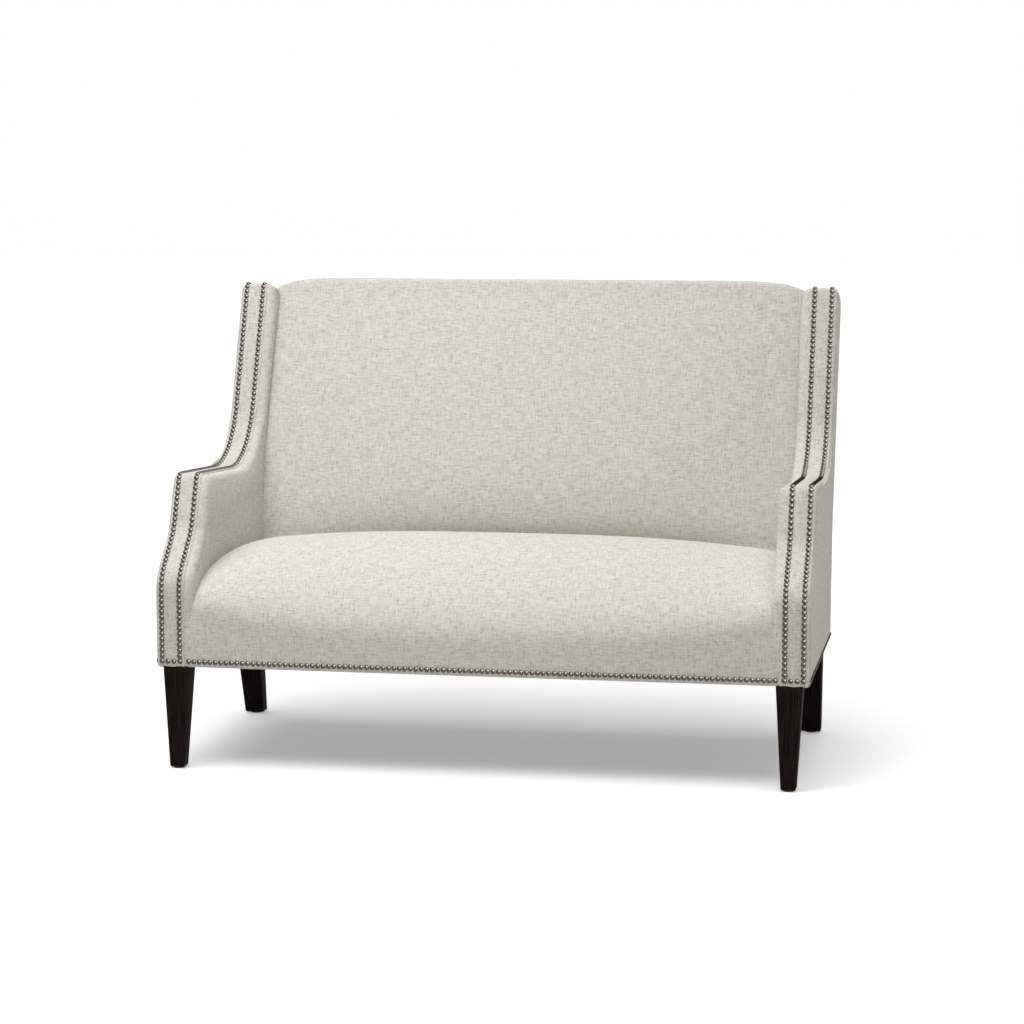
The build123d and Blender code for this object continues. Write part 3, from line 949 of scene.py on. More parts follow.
@dataclass
class Upholstery:
    """All the cloth-covered pieces: seat, back, arm pads, edge bands, outer covers and dust cover."""

    outline: SideOutline
    cloth: bpy.types.Material
    dust: bpy.types.Material
    swell: Swell = field(default_factory=Swell)
    fine: Fineness = Fineness()
    thickness: float = 0.0016
    dust_thickness: float = 0.0006
    dust_sag: float = 0.004
    leg_room: float = 0.02
    corner: float = 0.008
    lap: float = 0.0012
    fold: float = 0.6172
    tuck: float = 0.0021
    skin: float = 0.0003
    clear: float = 0.0004
    play: float = 0.0002
    fold_flat: float = 0.001
    panel_face: float = 0.6157
    arm_face: float = 0.599
    wing_face: float = 0.597
    face_span: tuple[float, float] = (0.62, 0.95)
    under_band: float = 0.009
    overlap: float = 0.008
    deck: float = 0.3200
    rail_front: float = 0.0142
    crown_power: float = 3.0
    spacing: float = 0.012
    first_gap: float = 0.8
    end_steps: tuple[float, ...] = (0.0, 0.002, 0.005, 0.010, 0.017, 0.026)
    seat_fill: float = 0.9
    seat_edge: float = 0.429
    seat_crown: float = 0.038
    seat_fall: tuple[float, float] = (0.012, 0.032)
    roll_depth: tuple[float, float] = (0.300, 0.290)
    roll_height: tuple[float, float] = (0.080, 0.185)
    roll_bend: tuple[float, float] = (1.0, 1.10)
    corner_span: tuple[float, float] = (0.280, 0.370)
    narrowing: tuple[float, float] = (0.001, 0.014)
    seat_ends: tuple[float, float] = (0.085, 0.020)
    apron_ends: float = 0.014
    seat_tuck: float = 0.022
    seat_play: float = 0.001
    seat_tail: tuple[float, float] = (0.02, 0.045)
    back_fill: float = 0.85
    crease: float = 0.033
    back_crown: float = 0.027
    back_top: tuple[float, float] = (0.9723, 0.0217)
    shoulder_power: float = 13.0
    back_roll: float = 0.015
    settling: int = 8
    bow_top: float = 0.80
    bow_depth: tuple[float, float] = (0.018, 0.048)
    bow_power: float = 7.0
    foot_curl: tuple[float, float] = (0.010, 0.034)
    bulge: float = 0.014
    low_span: tuple[float, float] = (0.45, 0.62)
    back_ends: tuple[tuple[float, float], ...] = ((0.130, 0.050), (0.032, 0.017), (0.88, 0.80))
    back_foot: float = 0.004
    back_wall: float = 0.022
    face_join: float = 0.1
    top_fade: float = 0.2
    plane_gap: float = 0.0005
    least_depth: float = 0.004
    arm_fill: float = 0.8
    pad_roll: float = 0.016
    pad_start: tuple[float, float] = (0.270, 0.290)
    pad_lip: tuple[float, ...] = (1.0, 0.75, 0.4, 0.12)
    pad_end: float = 0.0005
    pad_setback: float = 0.004
    pad_floor: tuple[float, float] = (0.030, 0.002)
    pad_rear: float = 0.003
    pad_top: tuple[float, float] = (0.004, 0.012)
    pad_corner: float = 0.01
    pad_still: int = 4
    pad_bulge: float = 0.003
    pad_bulge_rate: float = 1.4
    pad_full: float = 0.009
    pad_full_height: tuple[float, float] = (0.46, 0.64)
    pad_full_depth: tuple[float, float] = (-0.10, 0.14)
    pillow: float = 0.0007
    side_bulge: float = 0.0025
    side_bulge_rate: float = 1.02

    def crown(self, share: np.ndarray) -> np.ndarray:
        """Share of the full crown across the width: 1 in the middle, falling as the cube to 0."""
        return 1 - np.abs(share) ** self.crown_power

    def inner_face(self, height: np.ndarray) -> np.ndarray:
        """Place across the width of the inner face of arm and wing at a height."""
        return blend((self.arm_face, self.wing_face), smooth_step(height, *self.face_span))

    def face_of_back(self, height: np.ndarray, share: np.ndarray) -> np.ndarray:
        """Depth of the back's front face: behind the wing line by the crease, less the crown, and bowed.

        The bow draws the face in towards the seat by a power of the depth below its upper end, a curl draws
        its foot in by the square, and a half wave between seat and top pushes the middle out.

        Args:
            height: heights of the points.
            share: places across the width from -1 to 1.

        Returns:
            Depths of the points.
        """
        rise = self.crown(share)
        low = self.seat_edge + self.seat_crown * rise - blend(self.seat_fall, rise)
        sunk = np.clip((self.bow_top - height) / (self.bow_top - low), 0.0, 1.0)
        bow = blend(self.bow_depth, rise) * sunk**self.bow_power
        wave = np.sin(pi * np.clip((height - low) / (self.back_top[0] - low), 0.0, 1.0))
        forward = (self.back_crown + self.bulge * wave) * rise
        deepest, reach = self.foot_curl
        curl = deepest * rise * np.clip((low + reach - height) / reach, 0.0, 1.0) ** 2
        return self.outline.wing_line(height) + self.crease + bow + curl - forward

    def columns(self, half: float) -> np.ndarray:
        """Columns of a grid, closer together in the last steps at the ends.

        Args:
            half: half the width in metres.

        Returns:
            Places across the width from -1 to 1.
        """
        ends = np.array(self.end_steps) / half
        reach = 1 - ends[-1] - self.first_gap * self.spacing / half
        even = np.linspace(-reach, reach, int(2 * half / self.spacing))
        return np.concatenate([ends - 1, even, 1 - ends[::-1]])

    def build(self) -> list[bpy.types.Object]:
        """Builds every piece of upholstery.

        Returns:
            The pieces.
        """
        pieces = [self.seat(), self.back(), self.outside_back(), self.dust_cover()]
        for side in Side:
            pieces += [self.arm_pad(side), self.edge_band(side), self.outside_arm(side)]
        return pieces

    def pad(self, name: str, surface: Surface, fill: float, *nodes: str) -> bpy.types.Object:
        """Args:
            name: name of the piece.
            surface: closed surface with its held points.
            fill: not used.
            nodes: nodes that it stands for.

        Returns:
            The piece.
        """
        piece = surface.build(name, self.cloth)
        self.swell.run(piece, surface.held)
        refine(piece)
        dress(piece, "linen_cloth", *nodes)
        return piece

    def cover(
        self,
        piece: bpy.types.Object,
        node: str,
        area: Optional[float] = None,
    ) -> bpy.types.Object:
        """Thickens and dresses a cover that is stretched over the frame.

        Args:
            piece: open sheet.
            node: node that it stands for.
            area: not used.

        Returns:
            The piece.
        """
        thicken(piece, self.thickness)
        dress(piece, "linen_cloth", node)
        return piece

    @staticmethod
    def padding(x: np.ndarray, y: np.ndarray, z: np.ndarray, behind: tuple) -> Surface:
        """Closed pad of side sections with a face behind them.

        Args:
            x: places of the points across the width.
            y: their depths.
            z: their heights.
            behind: depths and heights of the face behind.

        Returns:
            The surface, laid flat by the width and the length along each section.
        """
        front = np.stack([x, y, z], axis=2)
        flat = np.stack([x, along_lengths(front, 0)], axis=2)
        return Surface.slab(front, np.stack([x, *behind], axis=2), flat)

    def seat(self) -> bpy.types.Object:
        """Seat: turned under at the base, up the front, over a roll to a crowned top, and into the crease.

        The roll is a quarter of an ellipse raised to a power, the top falls as the square of its depth, and
        both ends are rounded.

        Returns:
            The piece.
        """
        line = self.outline
        front, base, hem, radius = line.front, line.base, line.hem_radius, self.seat_tuck
        wide, narrow = self.fold + self.under_band, self.arm_face + self.overlap
        share = self.columns(wide)[None, :]
        rise = self.crown(share)
        head = self.seat_edge + self.seat_crown * rise
        sizes = (self.roll_depth, self.roll_height, self.roll_bend, self.seat_fall)
        deep, high, bend, fall = (blend(size, rise) for size in sizes)
        crest = front + deep
        rear = self.face_of_back(head - fall, share) - self.seat_play
        under = np.linspace(front + line.hem_reach, front + hem, self.fine.under)[:-1, None]
        turn = quarter(self.fine.hem)[:, None]
        climb = np.linspace(0, 1, self.fine.apron)[1:, None]
        arc = quarter(self.fine.roll)[1:, None]
        ahead, lift = np.maximum(np.cos(arc), 0.0) ** bend, np.sin(arc) ** bend
        depth = np.linspace(0, 1, self.fine.seat_top)[1:, None]
        over = quarter(self.fine.seat_tuck)[1:, None]
        tail = np.array(self.seat_tail)[:, None]
        runs = (
            (under, base),
            (front + hem - hem * np.sin(turn), base + hem - hem * np.cos(turn)),
            (front, base + hem + climb * (head - high - base - hem)),
            (front + deep * (1 - ahead), head - high + high * lift),
            (crest + depth * (rear - radius - crest), head - fall * depth**2),
            (rear - radius + radius * np.sin(over), head - fall - radius * (1 - np.cos(over))),
            (rear - tan(line.wing_rake) * tail, head - fall - radius - tail),
        )
        y, z = joined(runs, share)
        on_top = smooth_step(y - front, *self.narrowing)
        on_top[: len(under) + len(turn)] = 0.0
        x = share * blend((wide, narrow), on_top)
        rounded = np.maximum(on_top, smooth_step(z, *self.corner_span))
        gap, beside = (np.maximum(edge - np.abs(x), 0.0) for edge in (narrow, self.fold))
        drop = rounded * edge_drop(gap, *self.seat_ends)
        drop += (1 - rounded) * edge_drop(beside, self.apron_ends, self.tuck)
        y, z = pressed_in(y, z, drop)
        in_frame = np.abs(x) < self.panel_face
        behind_y = np.where(in_frame, np.maximum(y, front + self.rail_front), y + self.skin)
        surface = self.padding(x, y, z, (behind_y, np.minimum(z, self.deck)))
        return self.pad("seat", surface, self.seat_fill, "seat_cover", "seat_foam")

    def back(self) -> bpy.types.Object:
        """Back: up its raked and crowned face, over a rolled top and back to the top of the outside back.

        The corner that the roll cuts off is found in a few steps: it lies above the wanted peak by the radius
        times the upward share of the corner's middle line over the cosine of half the turn, less the radius.

        Returns:
            The piece.
        """
        line = self.outline
        roll, rake = self.back_roll, tan(line.wing_rake)
        share = self.columns(self.wing_face + self.overlap)[None, :]
        even = np.ones_like(share)
        peak = self.back_top[0] + self.back_top[1] * (1 - np.abs(share) ** self.shoulder_power)
        tail = np.array(line.top_corner(line.back_plane + self.clear))[:, None, None]
        come = np.array([sin(line.wing_rake), cos(line.wing_rake)])[:, None, None] * even
        top_z = peak
        for _ in range(self.settling):
            corner = np.stack([self.face_of_back(top_z, share), top_z])
            leave = (tail - corner) / np.linalg.norm(tail - corner, axis=0)
            turn = np.arccos((come * leave).sum(0))
            upward = (come - leave)[1] / np.linalg.norm(come - leave, axis=0)
            top_z = peak + roll * (upward / np.cos(turn / 2) - 1)
        top_z = corner[1]
        foot_z = self.deck + self.back_foot
        foot = np.stack([corner[0] + rake * (foot_z - top_z), foot_z * even])
        reach = roll * np.tan(turn / 2)
        inward = np.stack([come[1], -come[0]])
        start = corner - come * reach
        centre = start + inward * roll
        climb = np.linspace(0, 1, self.fine.back_face)[:, None]
        face = foot[:, None, 0] + climb * (start - foot)[:, None, 0]
        straight = corner[0] + rake * (face[1] - top_z)
        below_top = smooth_step(1 - climb, 0.0, self.face_join)
        face[0] += (self.face_of_back(face[1], share) - straight) * below_top
        angle = np.linspace(0, 1, self.fine.back_over)[1:, None] * turn
        over = centre - inward * roll * np.cos(angle) + come * roll * np.sin(angle)
        finish = corner + leave * reach
        run = np.linspace(0, 1, self.fine.back_top)[1:, None]
        y, z = joined((face, over, finish + run * (tail - finish)), share)
        half = self.inner_face(z) + self.overlap
        x = share * half
        turned = angle[:, 0] / angle[-1, 0]
        fade = [np.ones(len(climb)), 1 - (1 - self.top_fade) * turned, self.top_fade * (1 - run[:, 0])]
        above = smooth_step(z, *self.low_span)
        ends = (blend(size, above) for size in self.back_ends)
        y, z = pressed_in(y, z, np.concatenate(fade)[:, None] * edge_drop(half - np.abs(x), *ends))
        low_z = np.minimum(z, tail[1] - self.back_wall)
        plane = line.padding_plane(low_z, self.plane_gap)
        behind_y = np.maximum(plane, y + self.least_depth * (y < plane))
        surface = self.padding(x, y, z, (behind_y, low_z))
        return self.pad("back", surface, self.back_fill, "inside_back_cover", "back_foam")

    def arm_pad(self, side: Side) -> bpy.types.Object:
        """Inner side of an arm and wing: out of the edge band round a roll, then flat behind seat and back.

        The flat part is ruled from the roll to a far line along the deck and up the plane behind the back.

        Args:
            side: side of the settee.

        Returns:
            The piece.
        """
        line = self.outline
        path = line.edge(hem=False)
        start = path.height_station(self.pad_start[0])
        stations = path.spread(start, path.length - self.pad_end, self.fine.pad_length)
        edge, inward = path.at(stations)
        behind_apron = (self.pad_setback * (1 - smooth_step(edge[:, 1], *self.pad_start)))[:, None]
        lip = self.fold + self.under_band * np.array(self.pad_lip)
        turn = quarter(self.fine.pad_roll)
        rolled = blend((self.fold, self.inner_face(edge[:, 1:])), np.sin(turn))
        inset = np.concatenate([np.zeros(len(lip)), self.pad_roll * (1 - np.cos(turn))])
        x_rim = np.concatenate([np.tile(lip, (len(stations), 1)), rolled], axis=1)
        rim = x_rim.shape[1]
        place = edge[:, None] + inward[:, None] * (self.tuck + behind_apron + inset)[:, :, None]
        floor = (line.front + self.pad_floor[0], self.deck + self.pad_floor[1])
        back_foot = float(line.padding_plane(self.deck, self.pad_rear))
        top = line.top_corner(line.back_plane + self.pad_top[0])
        corners = [floor, (back_foot, floor[1]), (top[0], top[1] - self.pad_top[1])]
        far_line = RoundedPath(corners, (self.pad_corner,))
        foot_at = float(np.interp(line.front + line.wing_foot, path.line[:, 0], path.run))
        wing_share = np.clip((stations - foot_at) / (path.length - foot_at), 0, 1)
        arm_share = np.clip((stations - start) / (foot_at - start), 0, 1)
        corner_at = back_foot - floor[0]
        distant = far_line.points(arm_share * corner_at + wing_share * (far_line.length - corner_at))
        share = np.linspace(0, 1, self.fine.pad_flat)[1:, None]
        inner = place[:, -1:, :] + share[None] * (distant[:, None, :] - place[:, -1:, :])
        depth, height = inner[:, :, 0], inner[:, :, 1]
        full = (1 - smooth_step(height, *self.pad_full_height)) * smooth_step(depth, *self.pad_full_depth)
        wave = np.sin(pi * np.clip(share[:, 0] * self.pad_bulge_rate, 0, 1))
        bulge = self.pad_bulge * wave + self.pad_full * full
        x = np.concatenate([x_rim, self.inner_face(height) - bulge], axis=1)
        front = np.concatenate([x[:, :, None], np.concatenate([place, inner], axis=1)], axis=2)
        behind = front.copy()
        behind[:, :, 0] = np.maximum(x, self.panel_face)
        behind[:, :rim, 1:] += inward[:, None] * self.skin
        section = np.stack([x_rim, np.broadcast_to(inset, x_rim.shape)], axis=2)
        unrolled = along_lengths(section[:, ::-1], 1)[:, ::-1, None]
        flat = np.concatenate([place[:, -1:] - inward[:, None] * unrolled, inner], axis=1)
        surface = Surface.slab(front, behind, flat, rim + self.pad_still).on(side)
        word = side.word
        nodes = (f"inside_arm_cover_{word}", f"arm_pad_{word}")
        return self.pad(f"inside_arm_{word}_cloth", surface, self.arm_fill, *nodes)

    def outer_corner(self) -> tuple[np.ndarray, np.ndarray]:
        """Section of a rounded outer corner: places across and depths inwards, lapped round the side.

        Returns:
            Places across the width and depths.
        """
        half, corner, turn = self.outline.half_width, self.corner, quarter(self.fine.corner)[1:]
        places = np.append(half - corner + corner * np.sin(turn), half - self.skin)
        return places, np.append(corner * (1 - np.cos(turn)), corner + self.lap)

    def edge_profile(self) -> tuple[np.ndarray, np.ndarray]:
        """Section of the edge band from its folded edge to the outer side: places across and depths inwards.

        Returns:
            Places across the width and depths, with a low pillow of a cosine between the columns of nails.
        """
        flat_end = self.outline.half_width - self.corner
        across = np.linspace(self.fold + self.fold_flat, flat_end, self.fine.band_width)
        first, second = self.outline.nail_columns
        pillow = self.pillow * np.cos(2 * pi * (across - first) / (second - first))
        pillow *= smooth_step(across, self.fold, first) * smooth_step(-across, -flat_end, -second)
        corner_x, corner_depth = self.outer_corner()
        places = np.concatenate([[self.fold - self.play, self.fold], across, corner_x])
        return places, np.concatenate([[self.lap, self.skin], pillow, corner_depth])

    def edge_band(self, side: Side) -> bpy.types.Object:
        """Strip over the front, arm, sweep and wing: its section carried along the edge line.

        Args:
            side: side of the settee.

        Returns:
            The piece.
        """
        path = self.outline.edge(hem=True)
        places, depths = self.edge_profile()
        stations = path.spread(0.0, path.length, self.fine.band_length)
        surface = Surface.sheet(path.carry(stations, places, depths)).on(side)
        word = side.word
        piece = surface.build(f"edge_band_{word}_cloth", self.cloth)
        return self.cover(piece, f"edge_band_{word}")

    def outside_arm(self, side: Side) -> bpy.types.Object:
        """Outer side of an arm and wing: ruled between edge line and rear line, and turned under the base.

        It stands out by a half wave in both directions.

        Args:
            side: side of the settee.

        Returns:
            The piece.
        """
        line = self.outline
        half, hem, inset = line.half_width, line.hem_radius, self.corner + self.clear
        share = np.linspace(0, 1, self.fine.side_height)
        edge_path, rear_path = line.edge(hem=False), line.rear(hem=False)
        lift = edge_path.height_station(line.base + hem)
        edge, edge_in = edge_path.at(lift + share * (edge_path.length - lift))
        rear, rear_in = rear_path.at((1 - share) * (rear_path.length - hem))
        near, distant = edge + edge_in * inset, rear + rear_in * inset
        near[-1] = distant[-1]
        even = np.linspace(0, 1, self.fine.side_width)
        eased = (1 - np.cos(pi * even)) / 2
        across = (eased + even) / 2
        yz = near[:, None] + across[None, :, None] * (distant - near)[:, None]
        upward = np.sin(pi * np.clip(share * self.side_bulge_rate, 0, 1))[:, None]
        x = half - self.play + self.side_bulge * np.sin(pi * across) * upward
        body = np.concatenate([x[:, :, None], yz], axis=2)
        turn = quarter(self.fine.side_hem)[:-1, None]
        hem_x = np.concatenate([[[half - line.hem_reach]], half - hem + hem * np.sin(turn)])
        hem_z = np.concatenate([[[line.base]], line.base + hem - hem * np.cos(turn)])
        under = np.stack(np.broadcast_arrays(hem_x, body[:1, :, 1], hem_z), axis=2)
        grid = np.concatenate([under, body])
        flat = np.stack([grid[:, :, 1], grid[:, :, 2] - (half - grid[:, :, 0])], axis=2)
        surface = Surface.sheet(grid, flat)
        surface.faces = surface.faces[:, ::-1]
        word = side.word
        piece = surface.on(side).build(f"outside_arm_{word}_cloth", self.cloth, merge=1e-5)
        return self.cover(piece, f"outside_arm_cover_{word}", surface.area())

    def outside_back(self) -> bpy.types.Object:
        """Outside back: a section with rounded sides, carried from the top down and under the base.

        Returns:
            The piece.
        """
        path = self.outline.rear(hem=True)
        flat_end = self.outline.half_width - self.corner
        across = np.linspace(-flat_end, flat_end, self.fine.rear_width)
        corner_x, corner_depth = self.outer_corner()
        places = np.concatenate([-corner_x[::-1], across, corner_x])
        depths = np.concatenate([corner_depth[::-1], np.zeros(len(across)), corner_depth])
        stations = np.linspace(0, path.length, self.fine.rear_length)
        surface = Surface.sheet(path.carry(stations, places, depths))
        piece = surface.build("outside_back_cloth", self.cloth)
        return self.cover(piece, "outside_back_cover")

    def dust_cover(self) -> bpy.types.Object:
        """Dust cover: a level sheet under the seat frame that sags by half waves, notched round the legs.

        Returns:
            The piece.
        """
        low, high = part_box("dust_cover")
        across = np.linspace(0, 1, self.fine.dust_width)[None, :]
        along = np.linspace(0, 1, self.fine.dust_depth)[:, None]
        x, y = low.x + across * (high.x - low.x), low.y + along * (high.y - low.y)
        z = high.z - self.play - self.dust_sag * np.sin(pi * across) * np.sin(pi * along)
        surface = Surface.sheet(np.stack(np.broadcast_arrays(x, y, z), axis=2))
        middle = surface.points[surface.faces].mean(axis=1)[:, :2]
        clear = np.ones(len(middle), bool)
        for leg_low, leg_high in (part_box(node) for node in Legs.names()):
            past_low = middle > np.array(leg_low)[:2] - self.leg_room
            before_high = middle < np.array(leg_high)[:2] + self.leg_room
            clear &= ~(past_low & before_high).all(axis=1)
        surface.faces = surface.faces[clear][:, ::-1]
        piece = surface.build("dust_cover_cloth", self.dust)
        thicken(piece, self.dust_thickness)
        dress(piece, "dust_cloth", "dust_cover")
        size = (high.x - low.x, high.y - low.y)
        area = min(surface.area(), size[0] * size[1])
        return piece


@dataclass
class NailTrim:
    """Rows of nail heads: two columns along each edge band and one row along the lower edge."""

    outline: SideOutline
    metal: bpy.types.Material
    radius: float = 0.0055
    height: float = 0.0042
    pitch: float = 0.0115
    row_height: float = 0.0124
    front_end: float = 0.0187
    side_end: float = 0.0117
    sink: float = 0.0004
    sides: int = 8
    rings: tuple[tuple[float, float], ...] = ((0.0, 0.0), (28.0, 0.35), (60.0, 0.85))

    def dome(self) -> tuple[np.ndarray, np.ndarray, np.ndarray]:
        """One low dome: rings of points at angles up a flattened sphere, closed by a point on top.

        Returns:
            Points, triangles and the polish of each point, from 0 at the rim to 1 on top.
        """
        lift, shine = np.array(self.rings).T
        lift = np.radians(lift)[:, None]
        around = 2 * pi * np.arange(self.sides) / self.sides
        flat, rise = np.cos(lift), np.sin(lift)
        parts = np.broadcast_arrays(flat * np.cos(around), flat * np.sin(around), rise)
        points = np.concatenate([np.stack(parts, axis=2).reshape(-1, 3), [[0.0, 0.0, 1.0]]])
        index = np.arange(lift.size * self.sides).reshape(-1, self.sides)
        ahead = np.roll(index, -1, axis=1)
        lower = np.stack([index[:-1], ahead[:-1], ahead[1:]], axis=2)
        upper = np.stack([index[:-1], ahead[1:], index[1:]], axis=2)
        cap = np.stack([index[-1], ahead[-1], np.full(self.sides, index.size)], axis=1)
        triangles = np.concatenate([lower.reshape(-1, 3), upper.reshape(-1, 3), cap])
        polish = np.append(np.repeat(shine, self.sides), 1.0)
        return points * (self.radius, self.radius, self.height), triangles, polish

    def even(self, length: float) -> np.ndarray:
        """Places of nails spread evenly over a length, about one pitch apart."""
        return np.linspace(0, length, max(1, round(length / self.pitch)) + 1)

    def build(self) -> list[bpy.types.Object]:
        """Builds the nails of both edge bands, of the front and of both sides.

        Returns:
            One piece for each row or pair of columns.
        """
        line = self.outline
        height = line.base + self.row_height
        inner, outer = line.nail_columns
        path = line.edge(hem=False)
        edge, inward = path.at(self.row_height + self.even(path.length - 2 * self.row_height))
        spots = [np.insert(edge, 0, column, axis=1) for column in line.nail_columns]
        out = -np.insert(inward, 0, 0.0, axis=1)
        foot = self.level(inner + self.even(outer - inner)[1:-1], line.front, height)
        forward, sideways = np.array([[0.0, -1.0, 0.0]]), np.array([[1.0, 0.0, 0.0]])
        columns = np.concatenate([*spots, foot])
        columns_out = np.concatenate([out, out, forward.repeat(len(foot), axis=0)])
        reach = inner - self.front_end
        front_row = self.level(self.even(2 * reach) - reach, line.front, height)
        along = line.front + self.side_end + self.even(line.rear_base - 2 * self.side_end)
        side_row = self.level(line.half_width, along, height)
        pieces = [self.row("front_nails", front_row, forward.repeat(len(front_row), axis=0))]
        for side in Side:
            turn = np.array([side.value, 1.0, 1.0])
            pieces.append(self.row(f"arm_nails_{side.word}", columns * turn, columns_out * turn))
            side_out = sideways.repeat(len(side_row), axis=0)
            pieces.append(self.row(f"side_nails_{side.word}", side_row * turn, side_out * turn))
        return pieces

    @staticmethod
    def level(x: Any, y: Any, z: float) -> np.ndarray:
        """Points of a level row, of which x or y runs along it."""
        return np.stack(np.broadcast_arrays(x, y, z), axis=1)

    def row(self, node: str, spots: np.ndarray, outward: np.ndarray) -> bpy.types.Object:
        """Sets a dome on every spot of a row.

        Args:
            node: node that the row stands for.
            spots: places on the cloth.
            outward: unit vector off the cloth at each spot.

        Returns:
            The row as one piece.
        """
        points, triangles, polish = self.dome()
        across = np.cross(outward, np.where(np.abs(outward[:, :1]) > 0.5, (0.0, 0.0, 1.0), (1.0, 0.0, 0.0)))
        axes = np.stack([np.cross(across, outward), across, outward], axis=1)
        placed = (spots - outward * self.sink)[:, None] + points @ axes
        faces = triangles[None] + (np.arange(len(spots)) * len(points))[:, None, None]
        piece = make_piece(f"{node}_heads", placed.reshape(-1, 3), faces.reshape(-1, 3).tolist(), self.metal)
        layer = piece.data.attributes.new(POLISH, "FLOAT", "POINT")
        layer.data.foreach_set("value", np.tile(polish, len(spots)).astype(np.float32))
        return dress(piece, "nail_head", node)


@dataclass
class Legs:
    """Four tapered legs with eased edges, straight in front and raked behind."""

    wood: bpy.types.Material
    ease: float = 0.003
    fuller: float = 0.0015
    rear_foot: float = 0.0215
    levels: int = 18
    foot_levels: int = 4
    arc: int = 4

    @staticmethod
    def names() -> list[str]:
        """Nodes of the four legs."""
        return [f"{end}_leg_{side.word}" for side in Side for end in ("front", "rear")]

    def build(self) -> list[bpy.types.Object]:
        """Builds the four legs from the boxes of their nodes.

        Returns:
            The legs.
        """
        return [self.leg(node) for node in self.names()]

    def leg(self, node: str) -> bpy.types.Object:
        """One leg: a square with rounded corners carried down from its top to its foot as it narrows.

        Args:
            node: node of the leg.

        Returns:
            The leg.
        """
        low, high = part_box(node)
        end, _, word = node.split("_")
        glide_low, glide_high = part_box(f"glide_{end}_{word}")
        foot = np.array((glide_low + glide_high) / 2)[:2]
        top_half = (high.x - low.x) / 2 + self.fuller
        top = np.array([(low.x + high.x) / 2, low.y + top_half])
        if end == "front":
            foot_half = np.full(2, foot[1] - low.y)
        else:
            foot_half = np.array([self.rear_foot, high.y - foot[1]])
        turn = quarter(self.foot_levels)[1:]
        height = np.concatenate(
            [np.linspace(high.z, low.z + self.ease, self.levels), low.z + self.ease * (1 - np.sin(turn))]
        )
        shrink = np.concatenate([np.zeros(self.levels), self.ease * (1 - np.cos(turn))])
        share = np.clip((high.z - height) / (high.z - low.z), 0, 1)[:, None]
        centre = top + share * (foot - top)
        half = top_half + share * (foot_half - top_half) - shrink[:, None]
        angles = np.concatenate([quarter(self.arc + 1) + k * pi / 2 for k in range(4)])
        signs = np.array([(1, 1), (-1, 1), (-1, -1), (1, -1)]).repeat(self.arc + 1, axis=0)
        bend = np.stack([np.cos(angles), np.sin(angles)], axis=1)
        ring = centre[:, None] + signs[None] * (half[:, None] - self.ease) + bend[None] * self.ease
        upright = np.broadcast_to(height[:, None, None], (*ring.shape[:2], 1))
        points = np.concatenate([ring, upright], axis=2)
        index = np.arange(ring.shape[0] * ring.shape[1]).reshape(ring.shape[:2])
        ahead = np.roll(index, -1, axis=1)
        walls = np.stack([index[:-1], index[1:], ahead[1:], ahead[:-1]], axis=2).reshape(-1, 4)
        faces = [*walls.tolist(), index[0].tolist(), index[-1, ::-1].tolist()]
        around = along_lengths(points[:1], 1)[..., None]
        flat = np.concatenate([np.broadcast_to(around, upright.shape), upright], axis=2)
        piece = make_piece(f"{node}_wood", points.reshape(-1, 3), faces, self.wood, flat.reshape(-1, 2))
        return dress(piece, "dark_leg", node)


@dataclass
class HiddenFrame:
    """Plywood, rails, webbing, bolts and glides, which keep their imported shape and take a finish."""

    nodes: dict[str, bpy.types.Object]

    def dress(self) -> None:
        """Gives every node that keeps its shape a finish by what it is made of."""
        plywood = Layered("birch_plywood", "#b9925f", "#d8b988", (60.0, 60.0, 1.5), 0.6).build()
        timber = StainedWood("poplar_rail", "#a88a5c", "#cbb083").build()
        jute = Layered("jute_webbing", "#7d6440", "#b2966a", (2.0, 2.0, 2.0), 0.9).build()
        steel = Layered("zinc_plated_steel", "#8f9093", "#b9babd", (3.0, 3.0, 3.0), 0.35, 1.0).build()
        plastic = Layered("black_polyethylene", "#121212", "#1c1c1c", (1.0, 1.0, 1.0), 0.5).build()
        kinds = (("panel", plywood), ("webbing", jute), ("bolts", steel), ("glide", plastic))
        for name, node in self.nodes.items():
            finish = next((material for word, material in kinds if word in name), timber)
            node.data.materials.clear()
            node.data.materials.append(finish)


class Reach(Enum):
    """What a lamp shows in: everything, polished things only, or matt things only."""

    ALL = "all"
    POLISHED = "polished"
    MATT = "matt"


@dataclass(frozen=True)
class Lamp:
    """A far lamp: its strength, how wide it looks, where it shines from and what it shows in."""

    name: str
    energy: float
    angle: float
    shines_from: tuple[float, float, float]
    reach: Reach = Reach.ALL

    def build(self) -> None:
        """Adds the lamp to the scene."""
        sun = bpy.data.lights.new(self.name, "SUN")
        sun.energy = self.energy
        sun.angle = self.angle
        holder = linked(self.name, sun)
        aim(holder, "Z", self.shines_from)
        holder.visible_diffuse = self.reach is not Reach.POLISHED
        holder.visible_glossy = self.reach is not Reach.MATT


@dataclass(frozen=True)
class SoftBox:
    """A near soft box: its power, its width and depth, where it hangs and what it faces."""

    name: str
    power: float
    size: tuple[float, float]
    place: tuple[float, float, float]
    faces: tuple[float, float, float]

    def build(self) -> None:
        """Adds the soft box to the scene."""
        panel = bpy.data.lights.new(self.name, "AREA")
        panel.energy = self.power
        panel.shape = "RECTANGLE"
        panel.size, panel.size_y = self.size
        holder = linked(self.name, panel)
        holder.location = self.place
        aim(holder, "-Z", Vector(self.faces) - Vector(self.place))


